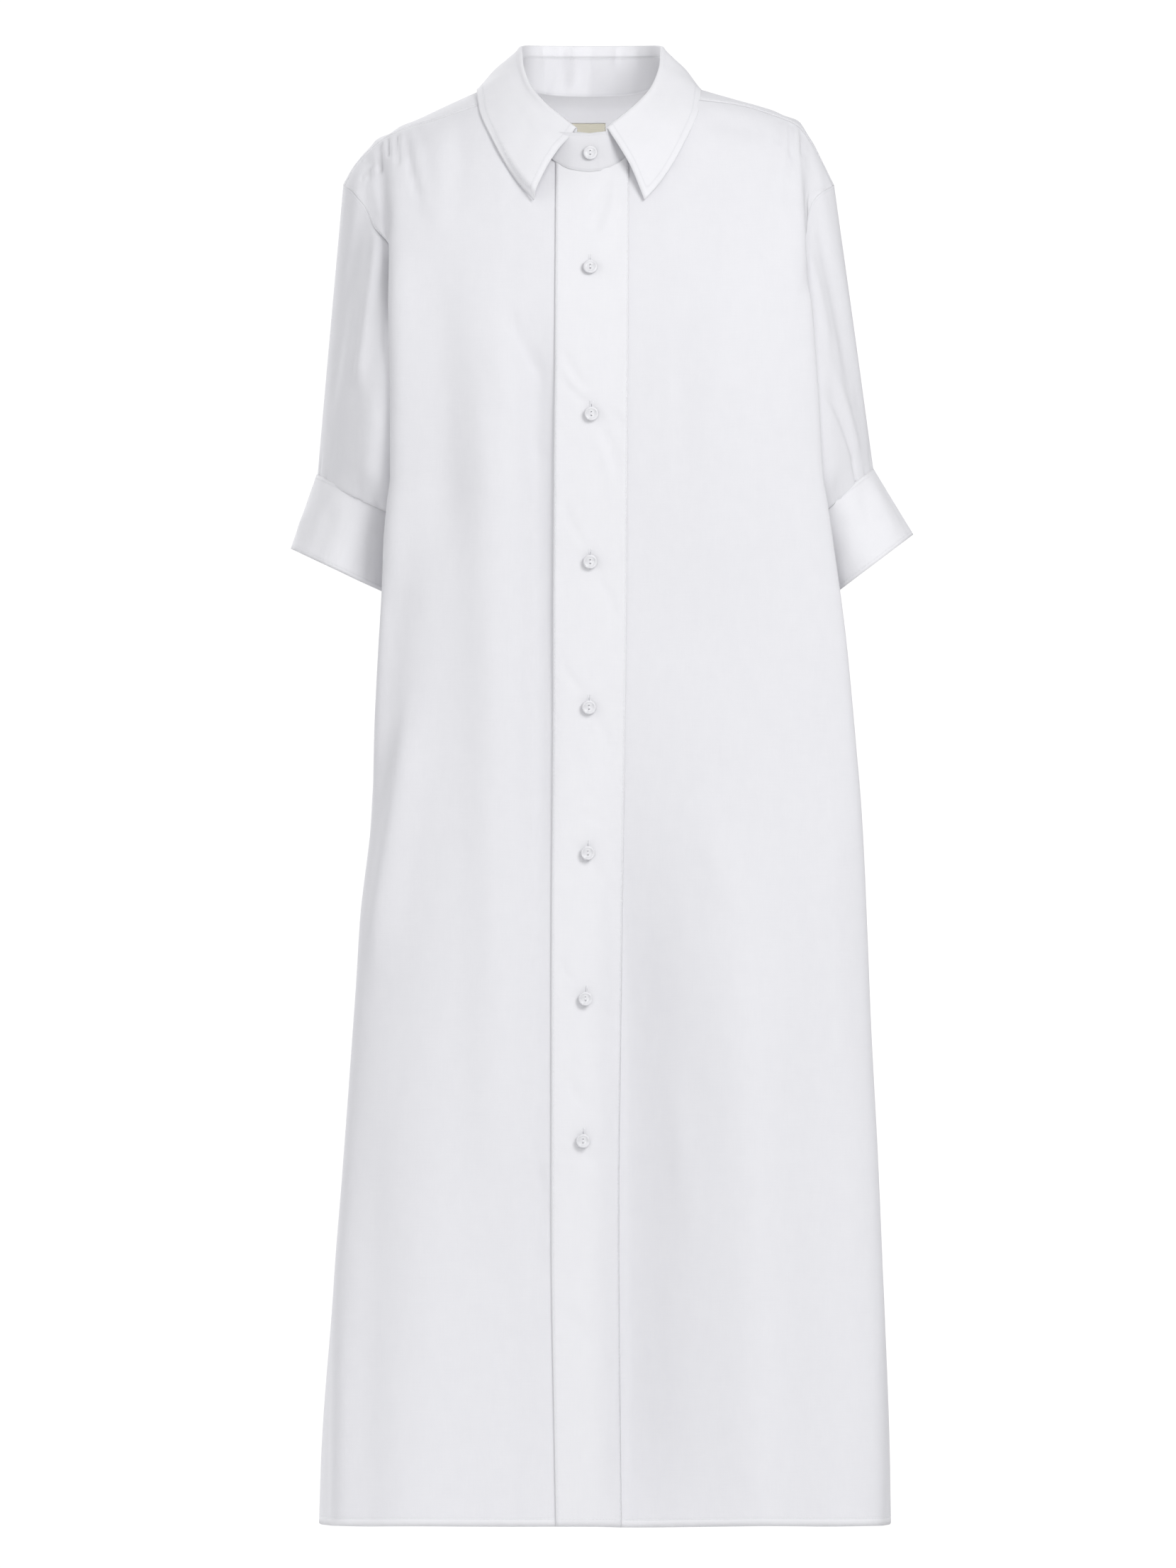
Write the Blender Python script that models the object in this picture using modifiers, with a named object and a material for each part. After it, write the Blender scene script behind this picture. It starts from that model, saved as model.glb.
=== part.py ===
"""Oversized shirt dress, filled out as if worn, with its collar, placket, sleeves and cuffs.

Frame: metres, +Z up, front of the dress towards -Y, wearer's left at +X.  The origin lies midway
between the two places where the collar meets the shoulders, on the plane of the shoulder ridges.
The tables are in millimetres.  Wearer's right is side -1, wearer's left is side +1.
"""

import math
from collections import namedtuple

import bmesh
import bpy
from mathutils import Vector

MM = 0.001
HEM_Z = -1206.0
PANEL_WALL = 1.2
BAND_WALL = 1.6
SEAM_GAP = 0.3

# Sections of the body: depth of its front and back at the centre, how far out the front folds lie,
# how deep those folds lie (share of the depth), and how square the front turns into them.
Level = namedtuple("Level", "z front back fold_right fold_left fold_depth square")
LEVELS = [
    Level(20, 92, 122, 172, 178, 0.60, 2.4),
    Level(-40, 92, 122, 174, 180, 0.62, 2.4),
    Level(-115, 104, 122, 170, 184, 0.66, 2.4),
    Level(-185, 118, 122, 168, 190, 0.70, 2.4),
    Level(-252, 124, 119, 166, 195, 0.70, 2.4),
    Level(-319, 126, 116, 166, 199, 0.70, 2.4),
    Level(-343, 126, 115, 169, 203, 0.70, 2.4),
    Level(-380, 126, 114, 174, 208, 0.70, 2.5),
    Level(-424, 127, 114, 178, 213, 0.70, 2.5),
    Level(-546, 131, 119, 186, 224, 0.66, 2.6),
    Level(-666, 136, 125, 192, 234, 0.63, 2.8),
    Level(-786, 141, 131, 200, 239, 0.62, 3.2),
    Level(-906, 147, 137, 209, 245, 0.63, 3.6),
    Level(-1026, 152, 143, 217, 249, 0.65, 4.2),
    Level(-1146, 157, 149, 219, 250, 0.67, 5.0),
    Level(HEM_Z, 160, 152, 219, 249, 0.68, 5.5),
]

# Armhole seam from the shoulder tip to the underarm, then the side seam down to the hem.
SideSeam = namedtuple("SideSeam", "z x_right x_left forward")
SIDE_SEAMS = [
    SideSeam(-58, 217, 215, 0),
    SideSeam(-73, 207, 206, 9),
    SideSeam(-77, 201, 199, 24),
    SideSeam(-83, 196, 192, 31),
    SideSeam(-92, 189, 187, 40),
    SideSeam(-107, 183, 183, 50),
    SideSeam(-122, 170, 177, 57),
    SideSeam(-160, 153, 166, 61),
    SideSeam(-210, 143, 160, 55),
    SideSeam(-260, 136, 156, 35),
    SideSeam(-288, 133, 152, 12),
    SideSeam(-302, 132, 150, 0),
    SideSeam(-350, 123, 138, 0),
    SideSeam(-400, 128, 146, 0),
    SideSeam(-440, 146, 171, 0),
    SideSeam(-490, 165, 196, 0),
    SideSeam(-546, 177, 212, 0),
    SideSeam(-666, 187, 226, 0),
    SideSeam(-786, 196, 234, 0),
    SideSeam(-906, 207, 243, 0),
    SideSeam(-1026, 218, 250.5, 0),
    SideSeam(-1146, 227, 255, 0),
    SideSeam(HEM_Z, 229, 256, 0),
]
BACK_ARMHOLE_SHARE = 1.16
BACK_FOLD_SHARE = 0.96
UNDERARM_Z = -302.0
SIDE_BEND = 0.26
SHOULDER_Z = -98.0
ARM_TOP_Z = -126.0
SIDE_KNOT = 0.45
SIDE_KNOT_PULL = 0.36

# Shoulder ridge, and the height over which the cloth rolls from it to its full depth.
Ridge = namedtuple("Ridge", "x z_right z_left front_roll back_roll front_depth back_depth")
RIDGES = [
    Ridge(0, 22, 22, 200, 110, 92, 122),
    Ridge(67, 18.5, 18, 195, 117, 88, 117),
    Ridge(94, 7, 9, 190, 120, 84, 113),
    Ridge(118, -4, 2, 180, 118, 79, 106),
    Ridge(146, -17, -6, 162, 111, 71, 94),
    Ridge(163, -24, -12, 140, 100, 63, 84),
    Ridge(177, -33, -19, 120, 90, 56, 73),
    Ridge(188, -42, -33, 100, 80, 46, 60),
    Ridge(200, -56, -56, 60, 55, 36, 42),
    Ridge(209, -72, -74, 60, 55, 30, 34),
]

# Top edge of the fronts: half the neckline, then the forward shoulder seam out to the tip.
TopEdge = namedtuple("TopEdge", "x z_right z_left")
FRONT_TOP = [
    TopEdge(0, -60, -60),
    TopEdge(15, -58, -58),
    TopEdge(30, -50, -50),
    TopEdge(45, -33, -33),
    TopEdge(57, -14, -14),
    TopEdge(66, 3, 3),
    TopEdge(94, -5, 0),
    TopEdge(127, -16, -4),
    TopEdge(157, -25, -13),
    TopEdge(176, -34, -21),
    TopEdge(189, -45, -37),
    TopEdge(199, -57, -56),
    TopEdge(207, -73, -73),
]
NECK_CORNER_X = 66.0
NECK_CORNER_ALONG = 0.62
BACK_YOKE_SEAM_Z = -96.0
HIGHEST_TOP_Z = 18.0
LOWEST_TOP_Z = -110.0

# Neckline over the yoke, seen from above, from the front corner to the centre back.
NeckPoint = namedtuple("NeckPoint", "along x y")
YOKE_NECK = [
    NeckPoint(0.0, 66, -34),
    NeckPoint(0.2, 67.5, -12),
    NeckPoint(0.4, 66, 10),
    NeckPoint(0.62, 56, 38),
    NeckPoint(0.8, 36, 55),
    NeckPoint(1.0, 0, 63),
]
YOKE_TIP_BULGE = 8.5
YOKE_TIP_REACH = 0.15

# The largest folds of the fronts: a soft ridge (height over 0) or trough from top to bottom.
Fold = namedtuple("Fold", "side x_top z_top x_foot z_foot width height")
FRONT_FOLDS = [
    Fold(-1, -58, -190, -48, -930, 26, 5.0),
    Fold(-1, -118, -150, -135, -420, 26, -4.5),
    Fold(-1, -146, -330, -190, -700, 24, -4.0),
    Fold(-1, -112, -470, -150, -1206, 34, 3.5),
    Fold(1, 48, -560, 96, -1230, 30, -5.5),
    Fold(1, 140, -700, 152, -1230, 26, 4.5),
    Fold(1, 118, -120, 112, -420, 44, 3.5),
]
BACK_FOLDS = [
    Fold(0, -92, -150, -128, -1230, 30, 4.5),
    Fold(0, -30, -230, -44, -1230, 28, -4.0),
    Fold(0, 44, -180, 58, -1230, 30, 4.0),
    Fold(0, 112, -260, 150, -1230, 32, -4.5),
]
FOLD_FADE = 0.25
FOLD_PAST_FOOT = 0.06
CALM_HALF_WIDTH = 34.0
CALM_FADE = 16.0

# Placket: its free edge at the wearer's right and its seam at the wearer's left.
PlacketRow = namedtuple("PlacketRow", "z free_edge seam")
PLACKET = [
    PlacketRow(-40, -28, 34),
    PlacketRow(-400, -30, 32),
    PlacketRow(-760, -32, 28),
    PlacketRow(-940, -32, 26),
    PlacketRow(HEM_Z, -28, 28),
]
PANEL_TUCK = 20.0
PLACKET_LIFT = 2.2

# Collar from the centre back (0) to its front end (1): the fold line and the outer edge.
CollarRow = namedtuple("CollarRow", "along fold_x fold_y fold_z edge_x edge_y edge_z")
COLLAR = [
    CollarRow(0.00, 0, 60, 47, 0, 86, -2),
    CollarRow(0.20, 30, 54, 47, 42, 79, 0),
    CollarRow(0.40, 52, 35, 47, 75, 53, 8),
    CollarRow(0.55, 59, 9, 45, 94, 17, 13),
    CollarRow(0.65, 58, -13, 31, 96, -10, 12),
    CollarRow(0.75, 52, -33, 13, 94, -39, -5),
    CollarRow(0.85, 40, -50, -2, 80, -66, -38),
    CollarRow(0.93, 26, -61, -14, 63, -82, -67),
    CollarRow(1.00, 12, -69, -25, 47, -93, -86),
]
COLLAR_SHIFT_X = 2.0
STAND_BELOW_FOLD = 9.0
STAND_LAP = 7.0
STAND_LAPS = [1.0, 0.75, 0.4]
STAND_LAP_STEP = 1.5
STAND_LAP_ALONG = 0.8
STAND_DIP_ALONG = 0.6
STAND_FRONT_HEIGHT = 31.0
STAND_END_ROUNDING = 0.7
STAND_BELOW_END = 2.5
STAND_LEAN = 0.16
STAND_CLEAR = 1.1
STAND_FOOT_END = 0.93
FOLD_APEX = 1.8
FOLD_TURN = 4.2
FOLD_DROP = 3.0
FALL_BELLY = 3.0

# Cuffs: outer end of the top and bottom rims, tilt of the rims, and half sizes of the rims.
Cuff = namedtuple("Cuff", "side top_x top_z foot_x foot_z tilt half_width half_depth flare")
CUFFS = [
    Cuff(-1, -231, -317, -253, -380, 25, 52, 62, 1.5),
    Cuff(1, 241, -312, 275, -368, 37, 52, 62, 1.5),
]
SLEEVE_PUFF = 9.0
SLEEVE_PUFF_OUT = 0.35
SLEEVE_SEAM_STEP = 3.4
SLEEVE_SEAM_DROP = 1.4
SLEEVE_STEP_RUN = 1.6
SLEEVE_CUFF_GAP = 1.2

# Buttons: centres down the front; the first is on the stand.
ButtonRow = namedtuple("ButtonRow", "x z")
BUTTONS = [
    ButtonRow(1, -46),
    ButtonRow(1, -143),
    ButtonRow(2, -267),
    ButtonRow(1, -392),
    ButtonRow(0, -515),
    ButtonRow(-1, -638),
    ButtonRow(-3, -761),
    ButtonRow(-5, -881),
]
BUTTON_RADIUS = 6.0
BUTTON_THICK = 2.6
BUTTON_WELL = 0.7

LABEL_LEFT = -20.0
LABEL_RIGHT = 14.0
LABEL_TOP_Z = -17.0
LABEL_FOOT_Z = -42.0
LABEL_CELLS = 3
LABEL_CLEAR = 1.4
LABEL_WALL = 0.8

BUTTON_STEPS = 14
BUTTON_WELL_RADIUS = 0.62
BUTTON_RIM_RADIUS = 0.80
BUTTON_BACK_RADIUS = 0.86

FRONT_NECK_COLUMNS = 4
FRONT_CHEST_COLUMNS = 5
FRONT_SIDE_COLUMNS = 4
BACK_COLUMNS = 22
PANEL_ROWS = 20
ROW_CROWDING = 1.5
SIDE_SHARE = 0.30
YOKE_NECK_COLUMNS = 6
YOKE_ROWS = 6
SLEEVE_COLUMNS = 28
SLEEVE_ROWS = 7
PLACKET_COLUMNS = 4
COLLAR_COLUMNS = 28

COTTON = (0.83, 0.83, 0.87)
BUTTON_GREY = (0.62, 0.62, 0.66)
LABEL_BEIGE = (0.72, 0.70, 0.60)


def smooth(knots, values, t):
    """Value at t of a smooth curve through the values at the knots, with no overshoot."""
    if t <= knots[0]:
        return values[0]
    if t >= knots[-1]:
        return values[-1]
    i = max(k for k in range(len(knots) - 1) if knots[k] <= t)
    rises = [(values[k + 1] - values[k]) / (knots[k + 1] - knots[k]) for k in range(len(knots) - 1)]

    def slope(k):
        if k == 0:
            return rises[0]
        if k == len(rises):
            return rises[-1]
        if rises[k - 1] * rises[k] <= 0:
            return 0.0
        return 2 * rises[k - 1] * rises[k] / (rises[k - 1] + rises[k])

    span = knots[i + 1] - knots[i]
    s = (t - knots[i]) / span
    start = (1 + 2 * s) * (1 - s) ** 2 * values[i] + s * (1 - s) ** 2 * span * slope(i)
    end = s * s * (3 - 2 * s) * values[i + 1] + s * s * (s - 1) * span * slope(i + 1)
    return start + end


def ease(t):
    """Soft step from 0 to 1 as t goes from 0 to 1, level outside."""
    t = min(max(t, 0.0), 1.0)
    return t * t * (3 - 2 * t)


def column(rows, name):
    """Values of one named column of a table."""
    return [getattr(row, name) for row in rows]


def read(rows, key, name, at):
    """Value of one named column of a table, at a place along its key column."""
    knots = column(rows, key)
    values = column(rows, name)
    if knots[0] > knots[-1]:
        knots = [-knot for knot in knots]
        at = -at
    return smooth(knots, values, at)


def wearer(side):
    """The wearer's own name for a side, or for the sign of an x."""
    return "right" if side < 0 else "left"


def ridge_z(x):
    """Height of the shoulder ridge."""
    return read(RIDGES, "x", "z_" + wearer(x), abs(x))


def roll(x, z, face):
    """Share of its full depth that the cloth has at a height, from 0 on the shoulder ridge to 1."""
    height = read(RIDGES, "x", face + "_roll", abs(x))
    drop = min(max(ridge_z(x) - z, 0.0) / height, 1.0)
    return math.sqrt(1 - (1 - drop) ** 2)


def shoulder_point(x, angle):
    """Point of the rounded shoulder; the angle is 0 on the ridge, negative in front of it."""
    face = "front" if angle < 0 else "back"
    height = read(RIDGES, "x", face + "_roll", abs(x))
    depth = read(RIDGES, "x", face + "_depth", abs(x))
    return Vector((x, depth * math.sin(angle), ridge_z(x) - height * (1 - math.cos(angle))))


def shoulder_angle(point):
    """Angle of a point of the shoulder, as shoulder_point takes it."""
    face = "front" if point.y < 0 else "back"
    height = read(RIDGES, "x", face + "_roll", abs(point.x))
    depth = read(RIDGES, "x", face + "_depth", abs(point.x))
    return math.atan2(point.y / depth, 1 - (ridge_z(point.x) - point.z) / height)


def over_shoulder(x, y):
    """Point of the rounded shoulder above a place in plan."""
    face = "front" if y < 0 else "back"
    return shoulder_point(x, math.asin(y / read(RIDGES, "x", face + "_depth", abs(x))))


def fold_lift(folds, side, x, z):
    """How far the named folds push the cloth outwards at a point of the panel."""
    lift = 0.0
    for fold in folds:
        if fold.side != side:
            continue
        along = (fold.z_top - z) / (fold.z_top - fold.z_foot)
        middle = fold.x_top + (fold.x_foot - fold.x_top) * along
        across = (x - middle) / fold.width
        fade = ease(along / FOLD_FADE) * ease((1 + FOLD_PAST_FOOT - along) / FOLD_FADE)
        lift += fold.height * math.exp(-across * across) * fade
    if side:
        lift *= ease((abs(x) - CALM_HALF_WIDTH) / CALM_FADE)
    return lift


def section(side, share, z, face="front", inner_x=0.0):
    """Point of the body's section at a height, from the inner edge (0) to the side seam (1)."""
    out = -1 if face == "front" else 1
    fold_x = read(LEVELS, "z", "fold_" + wearer(side), z)
    folds, fold_side, armhole_share = FRONT_FOLDS, side, 1.0
    if face == "back":
        fold_x = fold_x * BACK_FOLD_SHARE
        folds, fold_side, armhole_share = BACK_FOLDS, 0, BACK_ARMHOLE_SHARE
    depth = read(LEVELS, "z", face, z)
    fold_depth = read(LEVELS, "z", "fold_depth", z)
    square = read(LEVELS, "z", "square", z)

    def facing(x):
        """Depth of the front or back between the folds."""
        turn = min(abs(x) / fold_x, 1.0)
        flat = (1 - turn ** square) ** 0.5
        full = depth * (fold_depth + (1 - fold_depth) * flat)
        return out * (full * roll(x, z, face) + fold_lift(folds, fold_side, x, z) * flat)

    facing_end = 1 - SIDE_SHARE
    if share <= facing_end:
        reach = math.sin(0.5 * math.pi * share / facing_end)
        x = side * (inner_x + (fold_x - inner_x) * reach)
        return Vector((x, facing(x), z))
    seam_x = read(SIDE_SEAMS, "z", "x_" + wearer(side), z)
    forward = read(SIDE_SEAMS, "z", "forward", z)
    seam_y = out * (forward * armhole_share + 0.5 * SEAM_GAP)
    fold_y = facing(side * fold_x)
    knots = [0.0, SIDE_KNOT, 1.0]
    knot_y = fold_y + SIDE_KNOT_PULL * (seam_y - fold_y)
    along = (share - facing_end) / SIDE_SHARE
    x = smooth(knots, [fold_x, seam_x + SIDE_BEND * (fold_x - seam_x), seam_x], along)
    y = smooth(knots, [fold_y, knot_y, seam_y], along)
    near_shoulder = min(max((z - ARM_TOP_Z) / (SHOULDER_Z - ARM_TOP_Z), 0.0), 1.0)
    shoulder_y = out * read(RIDGES, "x", face + "_depth", x) * roll(side * x, z, face)
    return Vector((side * x, y + (shoulder_y - y) * near_shoulder, z))


def where_it_starts(point_at, top_at):
    """Height at which a column of a panel meets the panel's top edge, by halving the interval."""
    low = LOWEST_TOP_Z
    high = HIGHEST_TOP_Z
    for _ in range(30):
        middle = 0.5 * (low + high)
        if middle > top_at(point_at(middle).x):
            high = middle
        else:
            low = middle
    return 0.5 * (low + high)


def panel_rows(count):
    """Shares of the length at which rows lie, closer together near the top."""
    return [(row / count) ** ROW_CROWDING for row in range(count + 1)]


def front_top_z(side, x):
    """Height of a front's top edge, a seam's gap below the line of the seam."""
    return read(FRONT_TOP, "x", "z_" + wearer(side), abs(x)) - SEAM_GAP


def front_shares(side):
    """Places of the columns of a front, one of which runs to the corner of the neckline."""
    facing_end = 1 - SIDE_SHARE
    fold_x = read(LEVELS, "z", "fold_" + wearer(side), 0.0)
    corner = math.asin((NECK_CORNER_X - PANEL_TUCK) / (fold_x - PANEL_TUCK)) * 2 / math.pi * facing_end
    shares = [corner * i / FRONT_NECK_COLUMNS for i in range(FRONT_NECK_COLUMNS)]
    chest = facing_end - corner
    shares += [corner + chest * i / FRONT_CHEST_COLUMNS for i in range(FRONT_CHEST_COLUMNS)]
    shares += [facing_end + SIDE_SHARE * i / FRONT_SIDE_COLUMNS for i in range(FRONT_SIDE_COLUMNS + 1)]
    return shares


def front_panel(side):
    """Rows of points of one front, from its top edge to the hem."""
    columns = []
    for share in front_shares(side):

        def point_at(z, share=share):
            return section(side, share, z, "front", PANEL_TUCK)

        top = where_it_starts(point_at, lambda x: front_top_z(side, x))
        columns.append([point_at(top + (HEM_Z - top) * drop) for drop in panel_rows(PANEL_ROWS)])
    return list(zip(*columns))


def back_panel():
    """Rows of points of the back, from the yoke seam to the hem, wearer's right to left."""
    top = BACK_YOKE_SEAM_Z - SEAM_GAP
    shares = [-1 + 2 * i / BACK_COLUMNS for i in range(BACK_COLUMNS + 1)]
    heights = [top + (HEM_Z - top) * drop for drop in panel_rows(PANEL_ROWS - 2)]
    return [[section(-1 if n < 0 else 1, abs(n), z, "back") for n in shares] for z in heights]


def along_line(points, share):
    """Point at a share of the length of the line through some points."""
    lengths = [(b - a).length for a, b in zip(points, points[1:])]
    left = share * sum(lengths)
    for start, end, length in zip(points, points[1:], lengths):
        if left <= length:
            return start.lerp(end, left / length)
        left -= length
    return points[-1]


def yoke_front_edge(side, front):
    """Points of one half of the yoke's front edge: shoulder seam from the tip, then the neckline."""
    gap = Vector((0, 3 * SEAM_GAP, SEAM_GAP))
    seam = [point + gap for point in front[0][FRONT_NECK_COLUMNS:][::-1]]
    neck = []
    for i in range(1, YOKE_NECK_COLUMNS + 1):
        x = side * read(YOKE_NECK, "along", "x", i / YOKE_NECK_COLUMNS)
        neck.append(over_shoulder(x, read(YOKE_NECK, "along", "y", i / YOKE_NECK_COLUMNS)))
    return seam + neck


def yoke_column(side, inward, start, end):
    """Points of one column of the yoke, from its front edge over the shoulder to its back edge."""
    bulge = side * YOKE_TIP_BULGE * max(0.0, 1 - inward / YOKE_TIP_REACH)
    first = shoulder_angle(start)
    last = shoulder_angle(end)
    start_error = start - shoulder_point(start.x, first)
    end_error = end - shoulder_point(end.x, last)
    points = [start]
    for row in range(1, YOKE_ROWS):
        s = row / YOKE_ROWS
        x = start.x + (end.x - start.x) * s + bulge * 4 * s * (1 - s)
        points.append(shoulder_point(x, first + (last - first) * s) + start_error.lerp(end_error, s))
    return points + [end]


def yoke(fronts, back):
    """Rows of points of the yoke, from the front edge over the shoulders to the back seam."""
    middle = BACK_COLUMNS // 2
    back_seams = {-1: back[0][:middle + 1], 1: back[0][middle:][::-1]}
    halves = {}
    for side in (-1, 1):
        starts = yoke_front_edge(side, fronts[side])
        halves[side] = []
        for i, start in enumerate(starts):
            inward = i / (len(starts) - 1)
            end = along_line(back_seams[side], inward) + Vector((0, 0, 1.5 * SEAM_GAP))
            halves[side].append(yoke_column(side, inward, start, end))
    return list(zip(*(halves[-1] + halves[1][-2::-1])))


def front_point(x, z, lift=0.0):
    """Point on the fronts near the centre, moved outwards."""
    side = -1 if x < 0 else 1
    fold_x = read(LEVELS, "z", "fold_" + wearer(side), z)
    share = math.asin(abs(x) / fold_x) * 2 / math.pi * (1 - SIDE_SHARE)
    return section(side, share, z) + Vector((0, -lift, 0))


def band(left_at, right_at, lift, columns):
    """Rows of points of a straight front band between two edges, from the neckline to the hem."""
    runs = []
    for i in range(columns + 1):
        across = i / columns

        def point_at(z, across=across):
            x = left_at(z) + (right_at(z) - left_at(z)) * across
            return front_point(x, z, lift)

        top = where_it_starts(point_at, lambda x: front_top_z(1, x))
        runs.append([point_at(top + (HEM_Z - top) * drop) for drop in panel_rows(PANEL_ROWS)])
    return list(zip(*runs))


def placket():
    """Rows of points of the buttonhole band."""
    return band(
        lambda z: read(PLACKET, "z", "free_edge", z),
        lambda z: read(PLACKET, "z", "seam", z),
        PLACKET_LIFT,
        PLACKET_COLUMNS,
    )


def button_band():
    """Rows of points of the button band, between the tucked edges of the fronts."""
    half = PANEL_TUCK - 1.5 * SEAM_GAP
    return band(lambda z: -half, lambda z: half, 0.0, 2)


def neckline(along, side):
    """Point of the neckline from the centre back (0) over the yoke and the front to the front (1)."""
    if along < NECK_CORNER_ALONG:
        place = 1 - along / NECK_CORNER_ALONG
        x = side * read(YOKE_NECK, "along", "x", place)
        return over_shoulder(x, read(YOKE_NECK, "along", "y", place))
    past_corner = (along - NECK_CORNER_ALONG) / (1 - NECK_CORNER_ALONG)
    x = NECK_CORNER_X * math.cos(0.5 * math.pi * past_corner)
    return front_point(side * x, read(FRONT_TOP, "x", "z_" + wearer(side), x))


def lap_step(along, side):
    """Step of the collar's front ends, the wearer's left one outwards and the right one inwards."""
    near_front = max(0.0, (along - STAND_LAP_ALONG) / (1 - STAND_LAP_ALONG))
    return Vector((0, -side * STAND_LAP_STEP * near_front, 0))


def fold_line(along, side):
    """Point of the collar's fold line, from the centre back (0) to its front end (1)."""
    x = side * read(COLLAR, "along", "fold_x", along) + COLLAR_SHIFT_X
    y = read(COLLAR, "along", "fold_y", along)
    return Vector((x, y, read(COLLAR, "along", "fold_z", along))) + lap_step(along, side)


def collar_edge(along, side):
    """Point of the collar's outer edge, from the centre back (0) to the collar's tip (1)."""
    x = side * read(COLLAR, "along", "edge_x", along)
    return Vector((x, read(COLLAR, "along", "edge_y", along), read(COLLAR, "along", "edge_z", along)))


def stand_top(along, side):
    """Top edge of the stand, which lies below the fold line and meets it at the front."""
    near_front = max(0.0, (along - STAND_DIP_ALONG) / (1 - STAND_DIP_ALONG))
    below = STAND_BELOW_FOLD * (1 - near_front) + STAND_BELOW_END * near_front
    return fold_line(along, side) - Vector((0, 0, below))


def stand_front(x, rise):
    """Point of the stand at the centre front, a height above its seam, leaning back to the neck."""
    foot = front_point(x, read(FRONT_TOP, "x", "z_left", abs(x)))
    return foot + Vector((0, STAND_LEAN * rise, rise))


def stand_run():
    """Places along the stand, as (along, side, lap), from the wearer's right end to the left."""
    count = COLLAR_COLUMNS // 2
    places = [(1.0, -1, lap) for lap in STAND_LAPS]
    places += [(1 - i / count, -1, 0.0) for i in range(count)]
    places += [(i / count, 1, 0.0) for i in range(count + 1)]
    return places + [(1.0, 1, lap) for lap in STAND_LAPS[::-1]]


def stand():
    """Rows of points of the stand, whose ends lap at the front."""
    runs = []
    for along, side, lap in stand_run():
        step = lap_step(along, side)
        if lap > 0:
            x = side * (COLLAR[-1].fold_x - lap * (COLLAR[-1].fold_x + STAND_LAP))
            foot = stand_front(x, STAND_CLEAR) + step
            rise = STAND_FRONT_HEIGHT * math.sqrt(1 - STAND_END_ROUNDING * lap ** 4)
            top = stand_front(x, rise) + step
        else:
            foot = neckline(along * STAND_FOOT_END, side)
            inward = Vector((-foot.x, -foot.y, 0)).normalized()
            foot = foot + inward * STAND_CLEAR + Vector((0, 0, STAND_CLEAR)) + step
            top = stand_top(along, side)
        runs.append([foot, foot.lerp(top, 0.5), top])
    return list(zip(*runs))


def fall():
    """Rows of points of the fall: up from the stand, over the fold line and down to the edge."""
    count = COLLAR_COLUMNS // 2
    places = [(1 - i / count, -1) for i in range(count)] + [(i / count, 1) for i in range(count + 1)]
    runs = []
    for along, side in places:
        low = stand_top(along, side) + Vector((0, 0, 4 * SEAM_GAP))
        fold = fold_line(along, side)
        edge = collar_edge(along, side)
        away = Vector((edge.x - fold.x, edge.y - fold.y, 0)).normalized()
        apex = fold + away * FOLD_APEX
        turned = fold + away * FOLD_TURN - Vector((0, 0, FOLD_DROP))
        middle = turned.lerp(edge, 0.5) + away * FALL_BELLY
        runs.append([low, fold, apex, turned, turned.lerp(middle, 0.5), middle, edge])
    return list(zip(*runs))


def armhole_lines(side, front, back, yoke_rows):
    """Front and back halves of the armhole, each from the shoulder tip down to the underarm."""
    over_tip = [row[0 if side < 0 else -1] for row in yoke_rows]
    tip = max(range(len(over_tip)), key=lambda i: abs(over_tip[i].x))
    down_front = [row[-1] for row in front if row[-1].z > UNDERARM_Z]
    down_back = [row[0 if side < 0 else -1] for row in back]
    down_back = [point for point in down_back if point.z > UNDERARM_Z]
    x = side * read(SIDE_SEAMS, "z", "x_" + wearer(side), UNDERARM_Z)
    underarm = Vector((x, 0, UNDERARM_Z))
    front_line = over_tip[tip::-1] + down_front + [underarm]
    back_line = over_tip[tip:] + down_back + [underarm]
    return front_line, back_line


def cuff_rim(cuff, turn, end):
    """Point of a cuff's rim (end 0 is the top, 1 the foot); turn 0 is outermost, 0.25 the front."""
    tilt = math.radians(cuff.tilt)
    inward = Vector((-cuff.side * math.cos(tilt), 0, -math.sin(tilt)))
    outer = Vector((cuff.top_x, 0, cuff.top_z)).lerp(Vector((cuff.foot_x, 0, cuff.foot_z)), end)
    half_width = cuff.half_width + cuff.flare * end
    half_depth = cuff.half_depth + 2 * cuff.flare * end
    centre = outer + inward * half_width
    angle = 2 * math.pi * turn
    return centre - inward * half_width * math.cos(angle) + Vector((0, -half_depth * math.sin(angle), 0))


def sleeve_column(cuff, lines, turn):
    """Points of one column of a sleeve; turn 0 is at the shoulder tip, 0.25 at the front."""
    low = 2 * min(turn, 1 - turn)
    away = min(1.0, SLEEVE_STEP_RUN * low)
    start = along_line(lines[0] if turn < 0.5 else lines[1], low)
    start = start + Vector((cuff.side * SLEEVE_SEAM_STEP * away, 0, -SLEEVE_SEAM_DROP * (1 - away)))
    end = cuff_rim(cuff, turn, 0.0) + Vector((0, 0, SLEEVE_CUFF_GAP))
    angle = 2 * math.pi * turn
    fullness = SLEEVE_PUFF * (1 + SLEEVE_PUFF_OUT * (math.cos(angle) - 1)) * math.sin(angle)
    puff = Vector((SLEEVE_PUFF_OUT * cuff.side * abs(fullness), -fullness, 0))
    points = []
    for row in range(SLEEVE_ROWS + 1):
        down = row / SLEEVE_ROWS
        points.append(start.lerp(end, down) + puff * math.sin(math.pi * down))
    return points


def sleeve(cuff, lines):
    """Rows of points of a sleeve, from the armhole seam to the cuff's top rim."""
    turns = [i / SLEEVE_COLUMNS for i in range(SLEEVE_COLUMNS)]
    return list(zip(*[sleeve_column(cuff, lines, turn) for turn in turns]))


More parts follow.
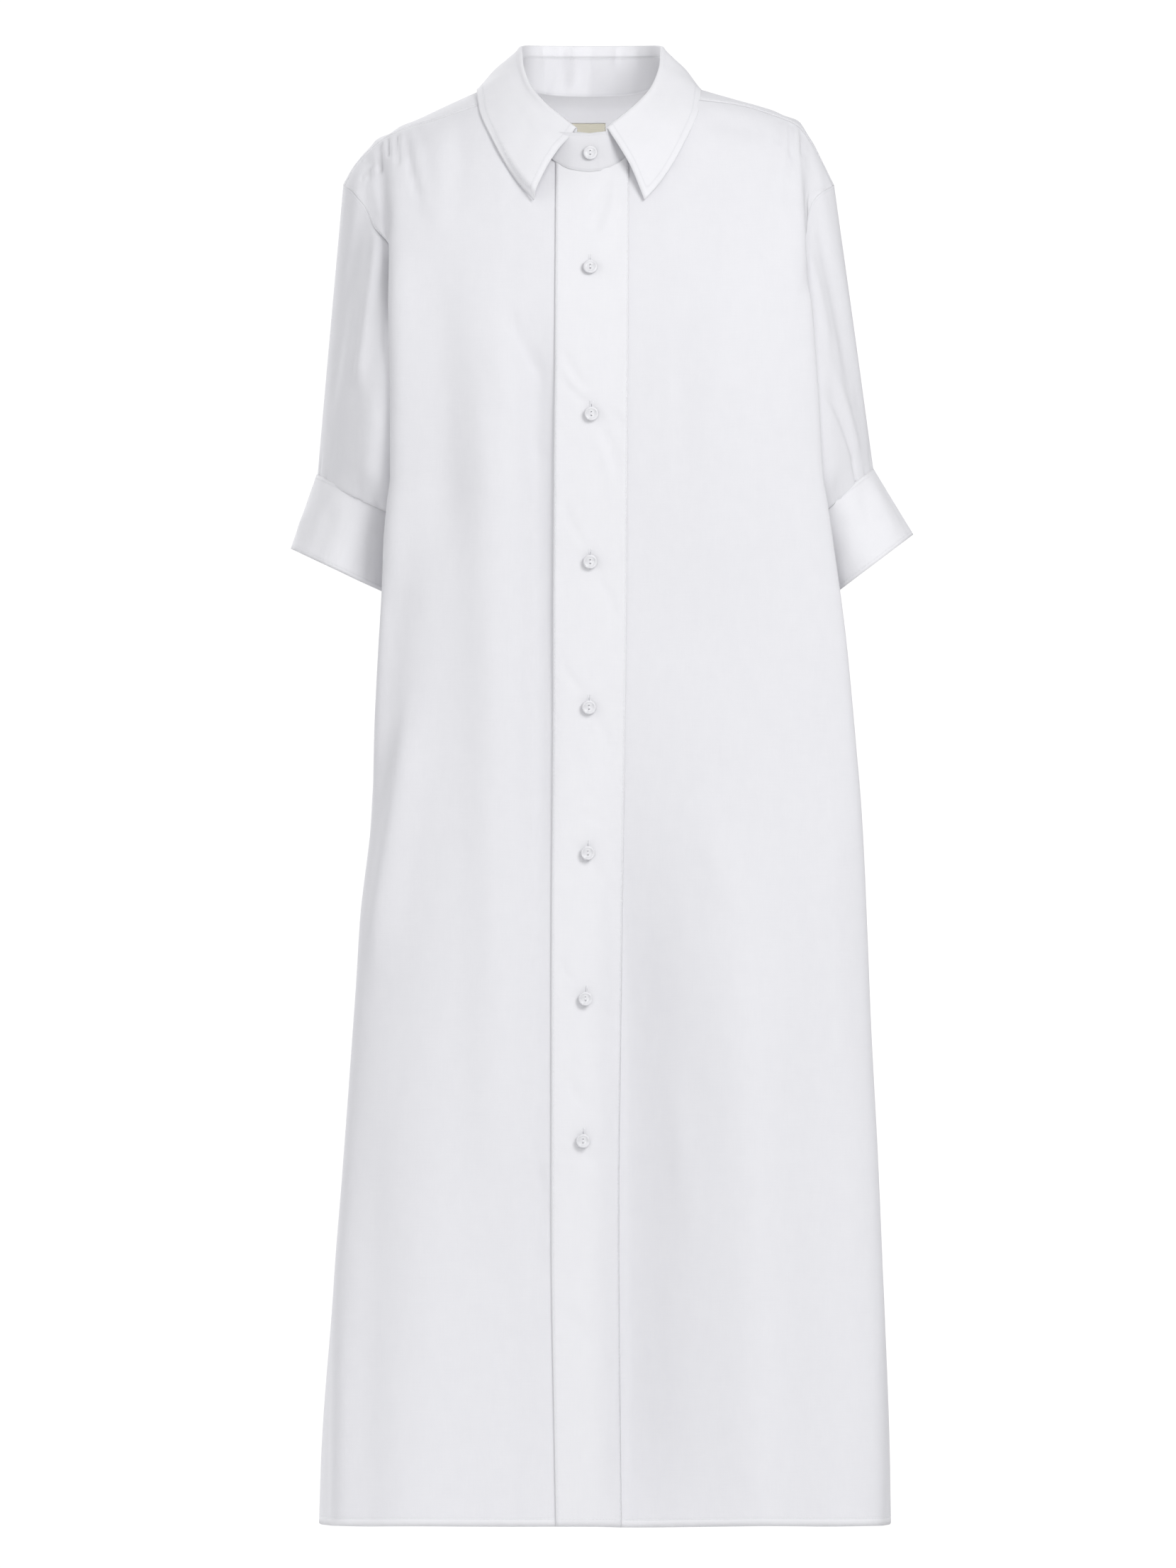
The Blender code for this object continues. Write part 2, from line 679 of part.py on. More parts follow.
def cuff_band(cuff):
    """Top and bottom rings of points of a cuff."""
    turns = [i / SLEEVE_COLUMNS for i in range(SLEEVE_COLUMNS)]
    return [[cuff_rim(cuff, turn, end) for turn in turns] for end in (0.0, 1.0)]


def label():
    """Rows of points of the neck label, flat against the inside of the back yoke."""
    rows = []
    for row in range(LABEL_CELLS + 1):
        z = LABEL_TOP_Z + (LABEL_FOOT_Z - LABEL_TOP_Z) * row / LABEL_CELLS
        points = []
        for i in range(LABEL_CELLS + 1):
            x = LABEL_LEFT + (LABEL_RIGHT - LABEL_LEFT) * i / LABEL_CELLS
            height = read(RIDGES, "x", "back_roll", abs(x))
            angle = math.acos(1 - (ridge_z(x) - z) / height)
            inward = Vector((0, -math.sin(angle), -math.cos(angle)))
            points.append(shoulder_point(x, angle) + inward * (PANEL_WALL + LABEL_CLEAR))
        rows.append(points)
    return rows


def plain_material(name, colour, roughness):
    """Material of one colour."""
    material = bpy.data.materials.new(name)
    material.use_nodes = True
    shader = material.node_tree.nodes["Principled BSDF"]
    shader.inputs["Base Color"].default_value = (*colour, 1.0)
    shader.inputs["Roughness"].default_value = roughness
    shader.inputs["Metallic"].default_value = 0.0
    return material


def grid_mesh(name, rows, closed, flip):
    """Open sheet of quads over rows of points in millimetres."""
    mesh = bpy.data.meshes.new(name)
    bm = bmesh.new()
    lines = [[bm.verts.new(point * MM) for point in row] for row in rows]
    count = len(rows[0])
    for upper, lower in zip(lines, lines[1:]):
        for i in range(count if closed else count - 1):
            j = (i + 1) % count
            corners = [upper[i], lower[i], lower[j], upper[j]]
            bm.faces.new(corners[::-1] if flip else corners)
    bm.to_mesh(mesh)
    bm.free()
    mesh.shade_smooth()
    return mesh


def sheet(name, collection, rows, wall, closed=False, flip=False, offset=-1.0, colour=COTTON):
    """Cloth piece: an open sheet given its wall by Solidify."""
    piece = bpy.data.objects.new(name, grid_mesh(name, rows, closed, flip))
    collection.objects.link(piece)
    solidify = piece.modifiers.new("wall", "SOLIDIFY")
    solidify.thickness = wall * MM
    solidify.offset = offset
    piece.data.materials.append(plain_material(name + "_cloth", colour, 0.85))
    return piece


def button_profile():
    """Half section of a button, from the middle of its dished face over the rim to its back."""
    return [
        (0.0, BUTTON_THICK - BUTTON_WELL),
        (BUTTON_RADIUS * BUTTON_WELL_RADIUS, BUTTON_THICK - BUTTON_WELL),
        (BUTTON_RADIUS * BUTTON_RIM_RADIUS, BUTTON_THICK),
        (BUTTON_RADIUS, 0.6 * BUTTON_THICK),
        (BUTTON_RADIUS * BUTTON_BACK_RADIUS, 0.0),
        (0.0, 0.0),
    ]


def button_seat(row, on_stand):
    """Middle of a button's back and the direction its face looks in."""
    if on_stand:
        foot = stand_front(row.x, 0.0)
        centre = stand_front(row.x, row.z - foot.z) + lap_step(1.0, 1)
        up = Vector((0, STAND_LEAN, 1))
        lift = 0.5 * BAND_WALL + 1.5 * SEAM_GAP
    else:
        centre = front_point(row.x, row.z, PLACKET_LIFT)
        above = front_point(row.x, row.z + BUTTON_RADIUS)
        up = above - front_point(row.x, row.z - BUTTON_RADIUS)
        lift = 1.5 * SEAM_GAP
    outward = up.cross(Vector((-1, 0, 0))).normalized()
    return centre + outward * lift, outward


def button(name, collection, row, on_stand):
    """Button: a turned profile, its face along the outward direction of the cloth under it."""
    mesh = bpy.data.meshes.new(name)
    bm = bmesh.new()
    points = [bm.verts.new((radius * MM, 0, height * MM)) for radius, height in button_profile()]
    for first, second in zip(points, points[1:]):
        bm.edges.new((first, second))
    bm.to_mesh(mesh)
    bm.free()
    mesh.shade_smooth()
    piece = bpy.data.objects.new(name, mesh)
    collection.objects.link(piece)
    screw = piece.modifiers.new("turn", "SCREW")
    screw.steps = BUTTON_STEPS
    screw.render_steps = BUTTON_STEPS
    screw.use_merge_vertices = True
    screw.merge_threshold = 0.02 * MM
    screw.use_smooth_shade = True
    centre, outward = button_seat(row, on_stand)
    piece.rotation_mode = "QUATERNION"
    piece.rotation_quaternion = outward.to_track_quat("Z", "Y")
    piece.location = centre * MM
    piece.data.materials.append(plain_material(name + "_shell", BUTTON_GREY, 0.35))
    return piece


def main():
    """Build every piece of the dress in its own collection."""
    for old in list(bpy.data.objects):
        bpy.data.objects.remove(old)
    dress = bpy.data.collections.new("shirt_dress")
    bpy.context.scene.collection.children.link(dress)
    fronts = {side: front_panel(side) for side in (-1, 1)}
    back = back_panel()
    yoke_rows = yoke(fronts, back)
    sheet("right_front", dress, fronts[-1], PANEL_WALL, flip=True)
    sheet("left_front", dress, fronts[1], PANEL_WALL)
    sheet("back_panel", dress, back, PANEL_WALL, flip=True)
    sheet("back_yoke", dress, yoke_rows, PANEL_WALL, flip=True)
    sheet("front_placket", dress, placket(), BAND_WALL)
    sheet("button_band", dress, button_band(), PANEL_WALL)
    sheet("collar_stand", dress, stand(), BAND_WALL, offset=0.0)
    sheet("collar_fall", dress, fall(), BAND_WALL, offset=0.0, flip=True)
    for cuff in CUFFS:
        name = wearer(cuff.side)
        flip = cuff.side > 0
        lines = armhole_lines(cuff.side, fronts[cuff.side], back, yoke_rows)
        sheet(name + "_sleeve", dress, sleeve(cuff, lines), PANEL_WALL, closed=True, flip=flip)
        sheet(name + "_cuff", dress, cuff_band(cuff), BAND_WALL, closed=True, flip=flip)
    sheet("neck_label", dress, label(), LABEL_WALL, offset=0.0, flip=True, colour=LABEL_BEIGE)
    for number, row in enumerate(BUTTONS, start=1):
        button("button_%d" % number, dress, row, number == 1)


main()
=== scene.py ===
"""Shirt dress in white cotton poplin, filled out as if worn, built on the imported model's frame.

Sizes and places are in millimetres unless a name says otherwise.  +X is the wearer's left, -Y the
front and +Z up.  The origin lies midway between the places where the collar meets the shoulders.
"""

import logging
import math
from collections.abc import Callable, Sequence
from dataclasses import dataclass
from enum import Enum, IntEnum
from functools import lru_cache
from typing import NamedTuple

import bpy
import numpy as np
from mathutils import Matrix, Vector

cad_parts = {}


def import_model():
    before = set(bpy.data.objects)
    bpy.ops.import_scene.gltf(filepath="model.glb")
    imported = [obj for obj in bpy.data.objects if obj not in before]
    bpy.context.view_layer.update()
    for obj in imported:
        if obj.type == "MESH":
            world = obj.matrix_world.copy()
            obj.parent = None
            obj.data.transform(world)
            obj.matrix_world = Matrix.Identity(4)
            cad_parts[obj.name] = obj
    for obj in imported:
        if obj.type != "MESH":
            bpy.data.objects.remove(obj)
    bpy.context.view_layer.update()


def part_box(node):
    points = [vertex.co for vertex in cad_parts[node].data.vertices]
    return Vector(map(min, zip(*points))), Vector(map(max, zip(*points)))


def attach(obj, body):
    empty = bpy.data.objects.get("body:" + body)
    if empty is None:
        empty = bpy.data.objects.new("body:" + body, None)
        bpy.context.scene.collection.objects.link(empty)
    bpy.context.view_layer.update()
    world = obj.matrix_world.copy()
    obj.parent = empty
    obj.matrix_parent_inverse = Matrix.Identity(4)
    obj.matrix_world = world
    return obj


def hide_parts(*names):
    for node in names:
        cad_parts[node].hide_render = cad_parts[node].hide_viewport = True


Array = np.ndarray
Place = tuple[float, float, float]
Material = bpy.types.Material
Socket = bpy.types.NodeSocket
MM = 0.001
LOG = logging.getLogger("shirt_dress")


class Side(IntEnum):
    """Wearer's side, as the sign of its x."""

    RIGHT = -1
    LEFT = 1

    @property
    def word(self) -> str:
        """The side's name in tables and nodes."""
        return self.name.lower()


class Face(Enum):
    """Face of the body that a panel covers."""

    FRONT = "front"
    BACK = "back"

    @property
    def out(self) -> int:
        """Sign of y on this face."""
        return -1 if self is Face.FRONT else 1


class Edge(Enum):
    """Edge of a sheet: its first or last row, or its first or last column."""

    TOP = "top"
    FOOT = "foot"
    START = "start"
    END = "end"


ENDS = (Edge.START, Edge.END)
RIMS = (Edge.TOP, Edge.FOOT)


class Layers(Enum):
    """How many layers of poplin lie together, which sets how pale it looks."""

    SINGLE = "single"
    DOUBLED = "doubled"


# ---------------------------------------------------------------------------- curves and tables


def inner_slope(before: Array, after: Array) -> Array:
    """Slope at a knot from the slopes before and after it, level where they disagree."""
    same_way = before * after > 0
    return np.where(same_way, 2 * before * after / np.where(same_way, before + after, 1.0), 0.0)


def cubic(s: Array, width: Array, ends: tuple[Array, Array], slopes: tuple[Array, Array]) -> Array:
    """Cubic between two knots that are a width apart, read at shares of that width."""
    start = (1 + 2 * s) * (1 - s) ** 2 * ends[0] + s * (1 - s) ** 2 * width * slopes[0]
    return start + (s * s * (3 - 2 * s) * ends[1] + s * s * (s - 1) * width * slopes[1])


class Curve:
    """Smooth curve through values at knots, with no overshoot, read at many places at once."""

    def __init__(self, knots: Sequence[float], values: Array) -> None:
        """Work out the slopes at the knots, which rise or fall, with a number or an array at each."""
        order = 1 if knots[-1] > knots[0] else -1
        self.knots = np.asarray(knots, dtype=float)[::order]
        self.values = np.asarray(values, dtype=float)[::order]
        self.extra = (1,) * (self.values.ndim - 1)
        rises = np.diff(self.values, axis=0) / np.diff(self.knots).reshape((-1,) + self.extra)
        self.slopes = np.concatenate([rises[:1], inner_slope(rises[:-1], rises[1:]), rises[-1:]])

    def __call__(self, at: Array) -> Array:
        """Values at places along the curve; places past its ends read as its ends."""
        at = np.clip(np.asarray(at, dtype=float), self.knots[0], self.knots[-1])
        i = np.clip(np.searchsorted(self.knots, at, side="right") - 1, 0, len(self.knots) - 2)
        width = (self.knots[i + 1] - self.knots[i]).reshape(at.shape + self.extra)
        s = (at - self.knots[i]).reshape(at.shape + self.extra) / width
        return cubic(s, width, (self.values[i], self.values[i + 1]), (self.slopes[i], self.slopes[i + 1]))


def table(kind: type, *rows: tuple[float, ...]) -> tuple:
    """Rows of numbers, each made into one of a kind."""
    return tuple(kind(*row) for row in rows)


@lru_cache(maxsize=None)
def curve(rows: tuple[NamedTuple, ...], name: str) -> Curve:
    """One named column of a table, as a curve over its first column."""
    return Curve([row[0] for row in rows], [getattr(row, name) for row in rows])


def read(rows: tuple[NamedTuple, ...], name: str, at: Array) -> Array:
    """Values of one named column of a table at places along its first column."""
    return curve(rows, name)(at)


def ease(t: Array) -> Array:
    """Soft step from 0 to 1 as t goes from 0 to 1, level outside."""
    t = np.clip(t, 0.0, 1.0)
    return t * t * (3 - 2 * t)


def at_points(x: Array, y: Array, z: Array) -> Array:
    """Array of points from arrays of their coordinates."""
    return np.stack(np.broadcast_arrays(x, y, z), axis=-1).astype(float)


def unit(vectors: Array) -> Array:
    """Vectors of length 1 in the same directions."""
    return vectors / np.maximum(np.linalg.norm(vectors, axis=-1, keepdims=True), 1e-9)


def run_of(points: Array) -> Array:
    """Length from the first to each of a line's points, or down each column of a grid."""
    steps = np.linalg.norm(np.diff(points, axis=0), axis=-1)
    return np.concatenate([np.zeros((1,) + steps.shape[1:]), np.cumsum(steps, axis=0)])


def on_line(values: Array, run: Array, at: Array) -> Array:
    """Values along a line, read at lengths from its start."""
    return np.stack([np.interp(at, run, values[:, axis]) for axis in range(3)], axis=-1)


def along_line(points: Array, shares: Array) -> Array:
    """Points of a line at shares of its length."""
    run = run_of(points)
    return on_line(points, run, np.asarray(shares) * run[-1])


class Line(NamedTuple):
    """Line on a sheet: its points and the outward directions there."""

    points: Array
    facing: Array

    def kept(self, keep: Array | slice) -> "Line":
        """The chosen part of the line."""
        return Line(self.points[keep], self.facing[keep])

    def raised(self, height: float) -> "Line":
        """The line, moved outwards."""
        return Line(self.points + self.facing * height, self.facing)

    def behind(self, depth: float) -> "Line":
        """The line on the sheet's other side, which lies a depth in."""
        return Line(self.points - self.facing * depth, -self.facing)


class Crease(NamedTuple):
    """Soft ridge (height over 0) or trough (under 0) along a line on the cloth."""

    start_x: float
    start_z: float
    end_x: float
    end_z: float
    width: float
    height: float
    bend: float = 0.0
    lean: float = 0.0
    fade: float = 0.25

    def lift(self, across: Array, down: Array) -> Array:
        """How far the crease pushes the cloth out, at places across and down it."""
        run_x, run_z = self.end_x - self.start_x, self.end_z - self.start_z
        off_x, off_z = across - self.start_x, down - self.start_z
        length = math.hypot(run_x, run_z)
        along = (off_x * run_x + off_z * run_z) / length ** 2
        off = (off_z * run_x - off_x * run_z) / length - 4 * self.bend * along * (1 - along)
        width = self.width * np.where(off > 0, 1 + self.lean, 1 - self.lean)
        fade = ease(along / self.fade) * ease((1 - along) / self.fade)
        return self.height * np.exp(-(off / width) ** 2) * fade


def relief(creases: Sequence[Crease], across: Array, down: Array) -> Array:
    """Lift of all the creases together."""
    return sum((crease.lift(across, down) for crease in creases), np.zeros(np.broadcast(across, down).shape))


# ---------------------------------------------------------------------------- shader building


class Value:
    """Number carried by a node's socket; the operators on it add Math nodes."""

    def __init__(self, kit: "NodeKit", socket: Socket) -> None:
        """Wrap a socket of one material's nodes."""
        self.kit = kit
        self.socket = socket

    def __add__(self, other: "Value | float") -> "Value":
        """Sum."""
        return self.kit.math("ADD", self, other)

    def __sub__(self, other: "Value | float") -> "Value":
        """Difference."""
        return self.kit.math("SUBTRACT", self, other)

    def __mul__(self, other: "Value | float") -> "Value":
        """Product."""
        return self.kit.math("MULTIPLY", self, other)

    def __truediv__(self, other: "Value | float") -> "Value":
        """Quotient."""
        return self.kit.math("DIVIDE", self, other)

    def wave(self, pitch: float) -> "Value":
        """Sine wave with a pitch in millimetres, where this is a length in metres."""
        return self.kit.math("SINE", self * (2 * math.pi / (pitch * MM)))

    def step(self, start: float, end: float) -> "Value":
        """Soft step from 0 at start to 1 at end."""
        inputs = {"Value": self, "From Min": start, "From Max": end}
        node = self.kit.node("ShaderNodeMapRange", inputs, interpolation_type="SMOOTHSTEP")
        return Value(self.kit, node.outputs["Result"])

    def bump_over(self, width: float) -> "Value":
        """Hump of height 1 at 0 that falls to almost nothing at a width to either side."""
        ratio = self / width
        return self.kit.math("POWER", math.e, ratio * ratio * -3.0)


class NodeKit:
    """Builds the nodes of one material."""

    def __init__(self, name: str) -> None:
        """Make a material with only its Principled shader."""
        self.material = bpy.data.materials.new(name)
        self.material.use_nodes = True
        self.tree = self.material.node_tree
        self.shader = self.tree.nodes["Principled BSDF"]

    def feed(self, socket: Socket, source: object) -> None:
        """Link a socket or a wrapped value to a socket, or set it to a plain value."""
        if isinstance(source, Value):
            source = source.socket
        if isinstance(source, Socket):
            self.tree.links.new(source, socket)
        else:
            socket.default_value = source

    def node(
        self, kind: str, inputs: dict[str | int, object] | None = None, **settings: object
    ) -> bpy.types.Node:
        """Add a node.

        Args:
            kind: the node's type.
            inputs: values or links for its sockets, by name or place.
            settings: its own properties, which are set first.

        Returns:
            The node.
        """
        node = self.tree.nodes.new(kind)
        for name, setting in settings.items():
            setattr(node, name, setting)
        for name, source in (inputs or {}).items():
            self.feed(node.inputs[name], source)
        return node

    def math(self, operation: str, *terms: Value | float) -> Value:
        """Result of a Math node."""
        node = self.node("ShaderNodeMath", dict(enumerate(terms)), operation=operation)
        return Value(self, node.outputs["Value"])

    def place(self) -> Socket:
        """Place on the piece, in metres."""
        return self.node("ShaderNodeTexCoord").outputs["Object"]

    def cut(self) -> tuple[Socket, Value, Value]:
        """Flat coordinates of the cloth, in metres, together and then across and down."""
        flat = self.node("ShaderNodeUVMap", uv_map="cut").outputs["UV"]
        parts = self.node("ShaderNodeSeparateXYZ", {"Vector": flat}).outputs
        return flat, Value(self, parts["X"]), Value(self, parts["Y"])

    def noise(self, place: Socket, per_metre: Place, detail: float) -> Value:
        """Soft noise from 0 to 1, with so many lumps in a metre along each axis and so many finer layers."""
        stretched = self.node("ShaderNodeVectorMath", {0: place, 1: per_metre}, operation="MULTIPLY")
        inputs = {"Vector": stretched.outputs["Vector"], "Scale": 1.0, "Detail": detail, "Roughness": 0.5}
        return Value(self, self.node("ShaderNodeTexNoise", inputs, noise_dimensions="3D").outputs["Fac"])

    def blend(self, factor: Value, *ends: Place | Socket) -> Socket:
        """Colour between two, by a factor."""
        first, second = ((*end, 1.0) if isinstance(end, tuple) else end for end in ends)
        inputs = {"Factor": factor, 6: first, 7: second}
        return self.node("ShaderNodeMix", inputs, data_type="RGBA").outputs[2]

    def shade(self, sources: dict[str, object]) -> None:
        """Set or link sockets of the Principled shader."""
        for name, source in sources.items():
            self.feed(self.shader.inputs[name], source)

    def let_through(self, share: float, colour: Socket) -> None:
        """Let a share of the light through to the other side, as thin cloth does."""
        thin = self.node("ShaderNodeBsdfTranslucent", {"Color": colour})
        shaders = {0: share, 1: self.shader.outputs["BSDF"], 2: thin.outputs["BSDF"]}
        mix = self.node("ShaderNodeMixShader", shaders)
        self.feed(self.tree.nodes["Material Output"].inputs["Surface"], mix.outputs["Shader"])

    def relieve(self, height: Value) -> None:
        """Bump the shader's normal by a height in millimetres."""
        bump = self.node("ShaderNodeBump", {"Height": height, "Strength": 1.0, "Distance": MM})
        self.shade({"Normal": bump.outputs["Normal"]})


def darker(colour: Place, share: float) -> Place:
    """A share of a colour."""
    return tuple(share * channel for channel in colour)


@dataclass(frozen=True)
class Poplin:
    """White cotton poplin, crisp and matt, with what its seams do to it, and painted shade along its stitch
    grooves.
    """

    name: str
    layers: Layers = Layers.SINGLE
    stitch_inset: float = 6.5
    hem_step: float = 0.25
    hem_light: float = 0.6
    groove_depth: float = 0.12
    pucker: float = 0.16
    warp_pitch: float = 0.55
    weft_pitch: float = 0.6875
    thread_height: float = 0.010
    slub_height: float = 0.012
    crumple: float = 1.1
    see_through: float = 0.2
    groove_width: float = 1.3
    ripple_width: float = 11.0
    # share of painted shade along each stitch groove
    groove_painted_shade_share: float = 0.35
    warp_slubs: Place = (2200.0, 45.0, 1.0)
    weft_slubs: Place = (45.0, 2200.0, 1.0)
    large_lumps: Place = (26.0, 26.0, 14.0)
    small_lumps: Place = (95.0, 95.0, 60.0)
    streaks: Place = (70.0, 70.0, 7.0)
    ripples: Place = (170.0, 170.0, 170.0)
    hem_tone: Place = (0.855, 0.853, 0.872)
    # colour of the painted shade along each stitch groove
    groove_painted_shade: Place = (0.68, 0.68, 0.71)

    def build(self) -> Material:
        """Make the material.

        Returns:
            Poplin whose weave follows the sheet's own flat coordinates, and whose seams follow the
            distance to the stitched edges.
        """
        kit = NodeKit(self.name)
        flat, across, down = kit.cut()
        place = kit.place()
        to_edge = Value(kit, kit.node("ShaderNodeAttribute", attribute_name="to_edge").outputs["Fac"])
        slub = kit.noise(flat, self.warp_slubs, 2.0) + kit.noise(flat, self.weft_slubs, 2.0)
        weave = across.wave(self.warp_pitch) * down.wave(self.weft_pitch) * self.thread_height
        weave = weave + slub * self.slub_height
        large = kit.noise(place, self.large_lumps, 1.0)
        small = kit.noise(place, self.small_lumps, 2.0)
        streak = kit.noise(place, self.streaks, 1.0)
        hand = large * self.crumple + (streak + small) * (0.25 * self.crumple)
        from_row = to_edge - self.stitch_inset
        groove = from_row.bump_over(self.groove_width)
        ripple = kit.noise(place, self.ripples, 1.0) * from_row.bump_over(self.ripple_width)
        hem = to_edge.step(self.stitch_inset + 0.9, self.stitch_inset + 0.1)
        seams = hem * self.hem_step - groove * self.groove_depth + ripple * (2.0 * self.pucker)
        kit.relieve(weave + hand + seams)

        body, shade = (0.800, 0.798, 0.822), (0.772, 0.770, 0.797)
        if self.layers is Layers.DOUBLED:
            body, shade = (0.830, 0.828, 0.850), (0.805, 0.803, 0.828)
        cloth = kit.blend((slub * 0.35 + small * 0.3).step(0.25, 0.75), body, shade)
        hemmed = kit.blend(hem * self.hem_light, cloth, self.hem_tone)
        # painted shade: the colour turns grey-blue along the groove of each stitch row, standing in for the
        # shade that falls in the dent
        colour = kit.blend(groove * self.groove_painted_shade_share, hemmed, self.groove_painted_shade)
        kit.let_through(self.see_through, colour)
        kit.shade({"Base Color": colour, "Roughness": small * 0.12 + 0.78, "Specular IOR Level": 0.25})
        kit.shade({"Sheen Weight": 0.12, "Sheen Roughness": 0.45})
        return kit.material


@dataclass(frozen=True)
class Thread:
    """Sewing thread, twisted from finer strands."""

    name: str
    colour: Place = (0.82, 0.82, 0.845)
    strands_per_metre: float = 3200.0

    def build(self) -> Material:
        """Make the material."""
        kit = NodeKit(self.name)
        strand = kit.noise(kit.place(), (self.strands_per_metre,) * 3, 1.0)
        kit.relieve(strand * 0.05)
        colour = kit.blend(strand, darker(self.colour, 0.82), self.colour)
        kit.shade({"Base Color": colour, "Roughness": 0.6, "Sheen Weight": 0.2})
        return kit.material


@dataclass(frozen=True)
class ShellButton:
    """Pale grey button with a soft polish and faint clouding."""

    name: str
    pale: Place = (0.67, 0.67, 0.69)
    dark: Place = (0.58, 0.58, 0.60)

    def build(self) -> Material:
        """Make the material."""
        kit = NodeKit(self.name)
        place = kit.place()
        cloud = kit.noise(place, (240.0, 240.0, 240.0), 3.0).step(0.3, 0.7)
        grain = kit.noise(place, (1500.0, 1500.0, 300.0), 1.0)
        kit.relieve(grain * 0.01)
        colour = kit.blend(cloud, self.dark, self.pale)
        kit.shade({"Base Color": colour, "Roughness": grain * 0.14 + 0.34, "Coat Weight": 0.1})
        return kit.material


@dataclass(frozen=True)
class LabelTape:
    """Beige woven tape with fine crossways ribs."""

    name: str
    colour: Place = (0.66, 0.63, 0.52)
    rib_pitch: float = 0.7

    def build(self) -> Material:
        """Make the material."""
        kit = NodeKit(self.name)
        flat, _, down = kit.cut()
        rib = down.wave(self.rib_pitch)
        slub = kit.noise(flat, (60.0, 1800.0, 1.0), 2.0)
        kit.relieve(rib * 0.04 + slub * 0.04)
        colour = kit.blend((rib * 0.25 + slub).step(0.2, 0.8), darker(self.colour, 0.86), self.colour)
        kit.shade({"Base Color": colour, "Roughness": slub * 0.15 + 0.6})
        return kit.material


@dataclass(frozen=True)
class StudioFloor:
    """Plain pale floor with a faint grain."""

    name: str

    def build(self) -> Material:
        """Make the material."""
        kit = NodeKit(self.name)
        grain = kit.noise(kit.place(), (30.0, 30.0, 30.0), 3.0)
        kit.shade({"Base Color": kit.blend(grain, (0.84, 0.84, 0.84), (0.87, 0.87, 0.87)), "Roughness": 0.8})
        return kit.material


# ---------------------------------------------------------------------------- sheets and stitches


def add_object(name: str, data: bpy.types.ID) -> bpy.types.Object:
    """New object in the scene."""
    piece = bpy.data.objects.new(name, data)
    bpy.context.scene.collection.objects.link(piece)
    return piece


def add_mesh(
    name: str, points: Array, faces: list, material: Material | None = None
) -> bpy.types.Object:
    """New smooth mesh in the scene, from points in millimetres."""
    mesh = bpy.data.meshes.new(name)
    mesh.from_pydata((np.asarray(points) * MM).tolist(), [], faces)
    mesh.shade_smooth()
    if material:
        mesh.materials.append(material)
    return add_object(name, mesh)


def circle(count: int) -> Array:
    """Angles of points round a circle."""
    return 2 * math.pi * np.arange(count) / count


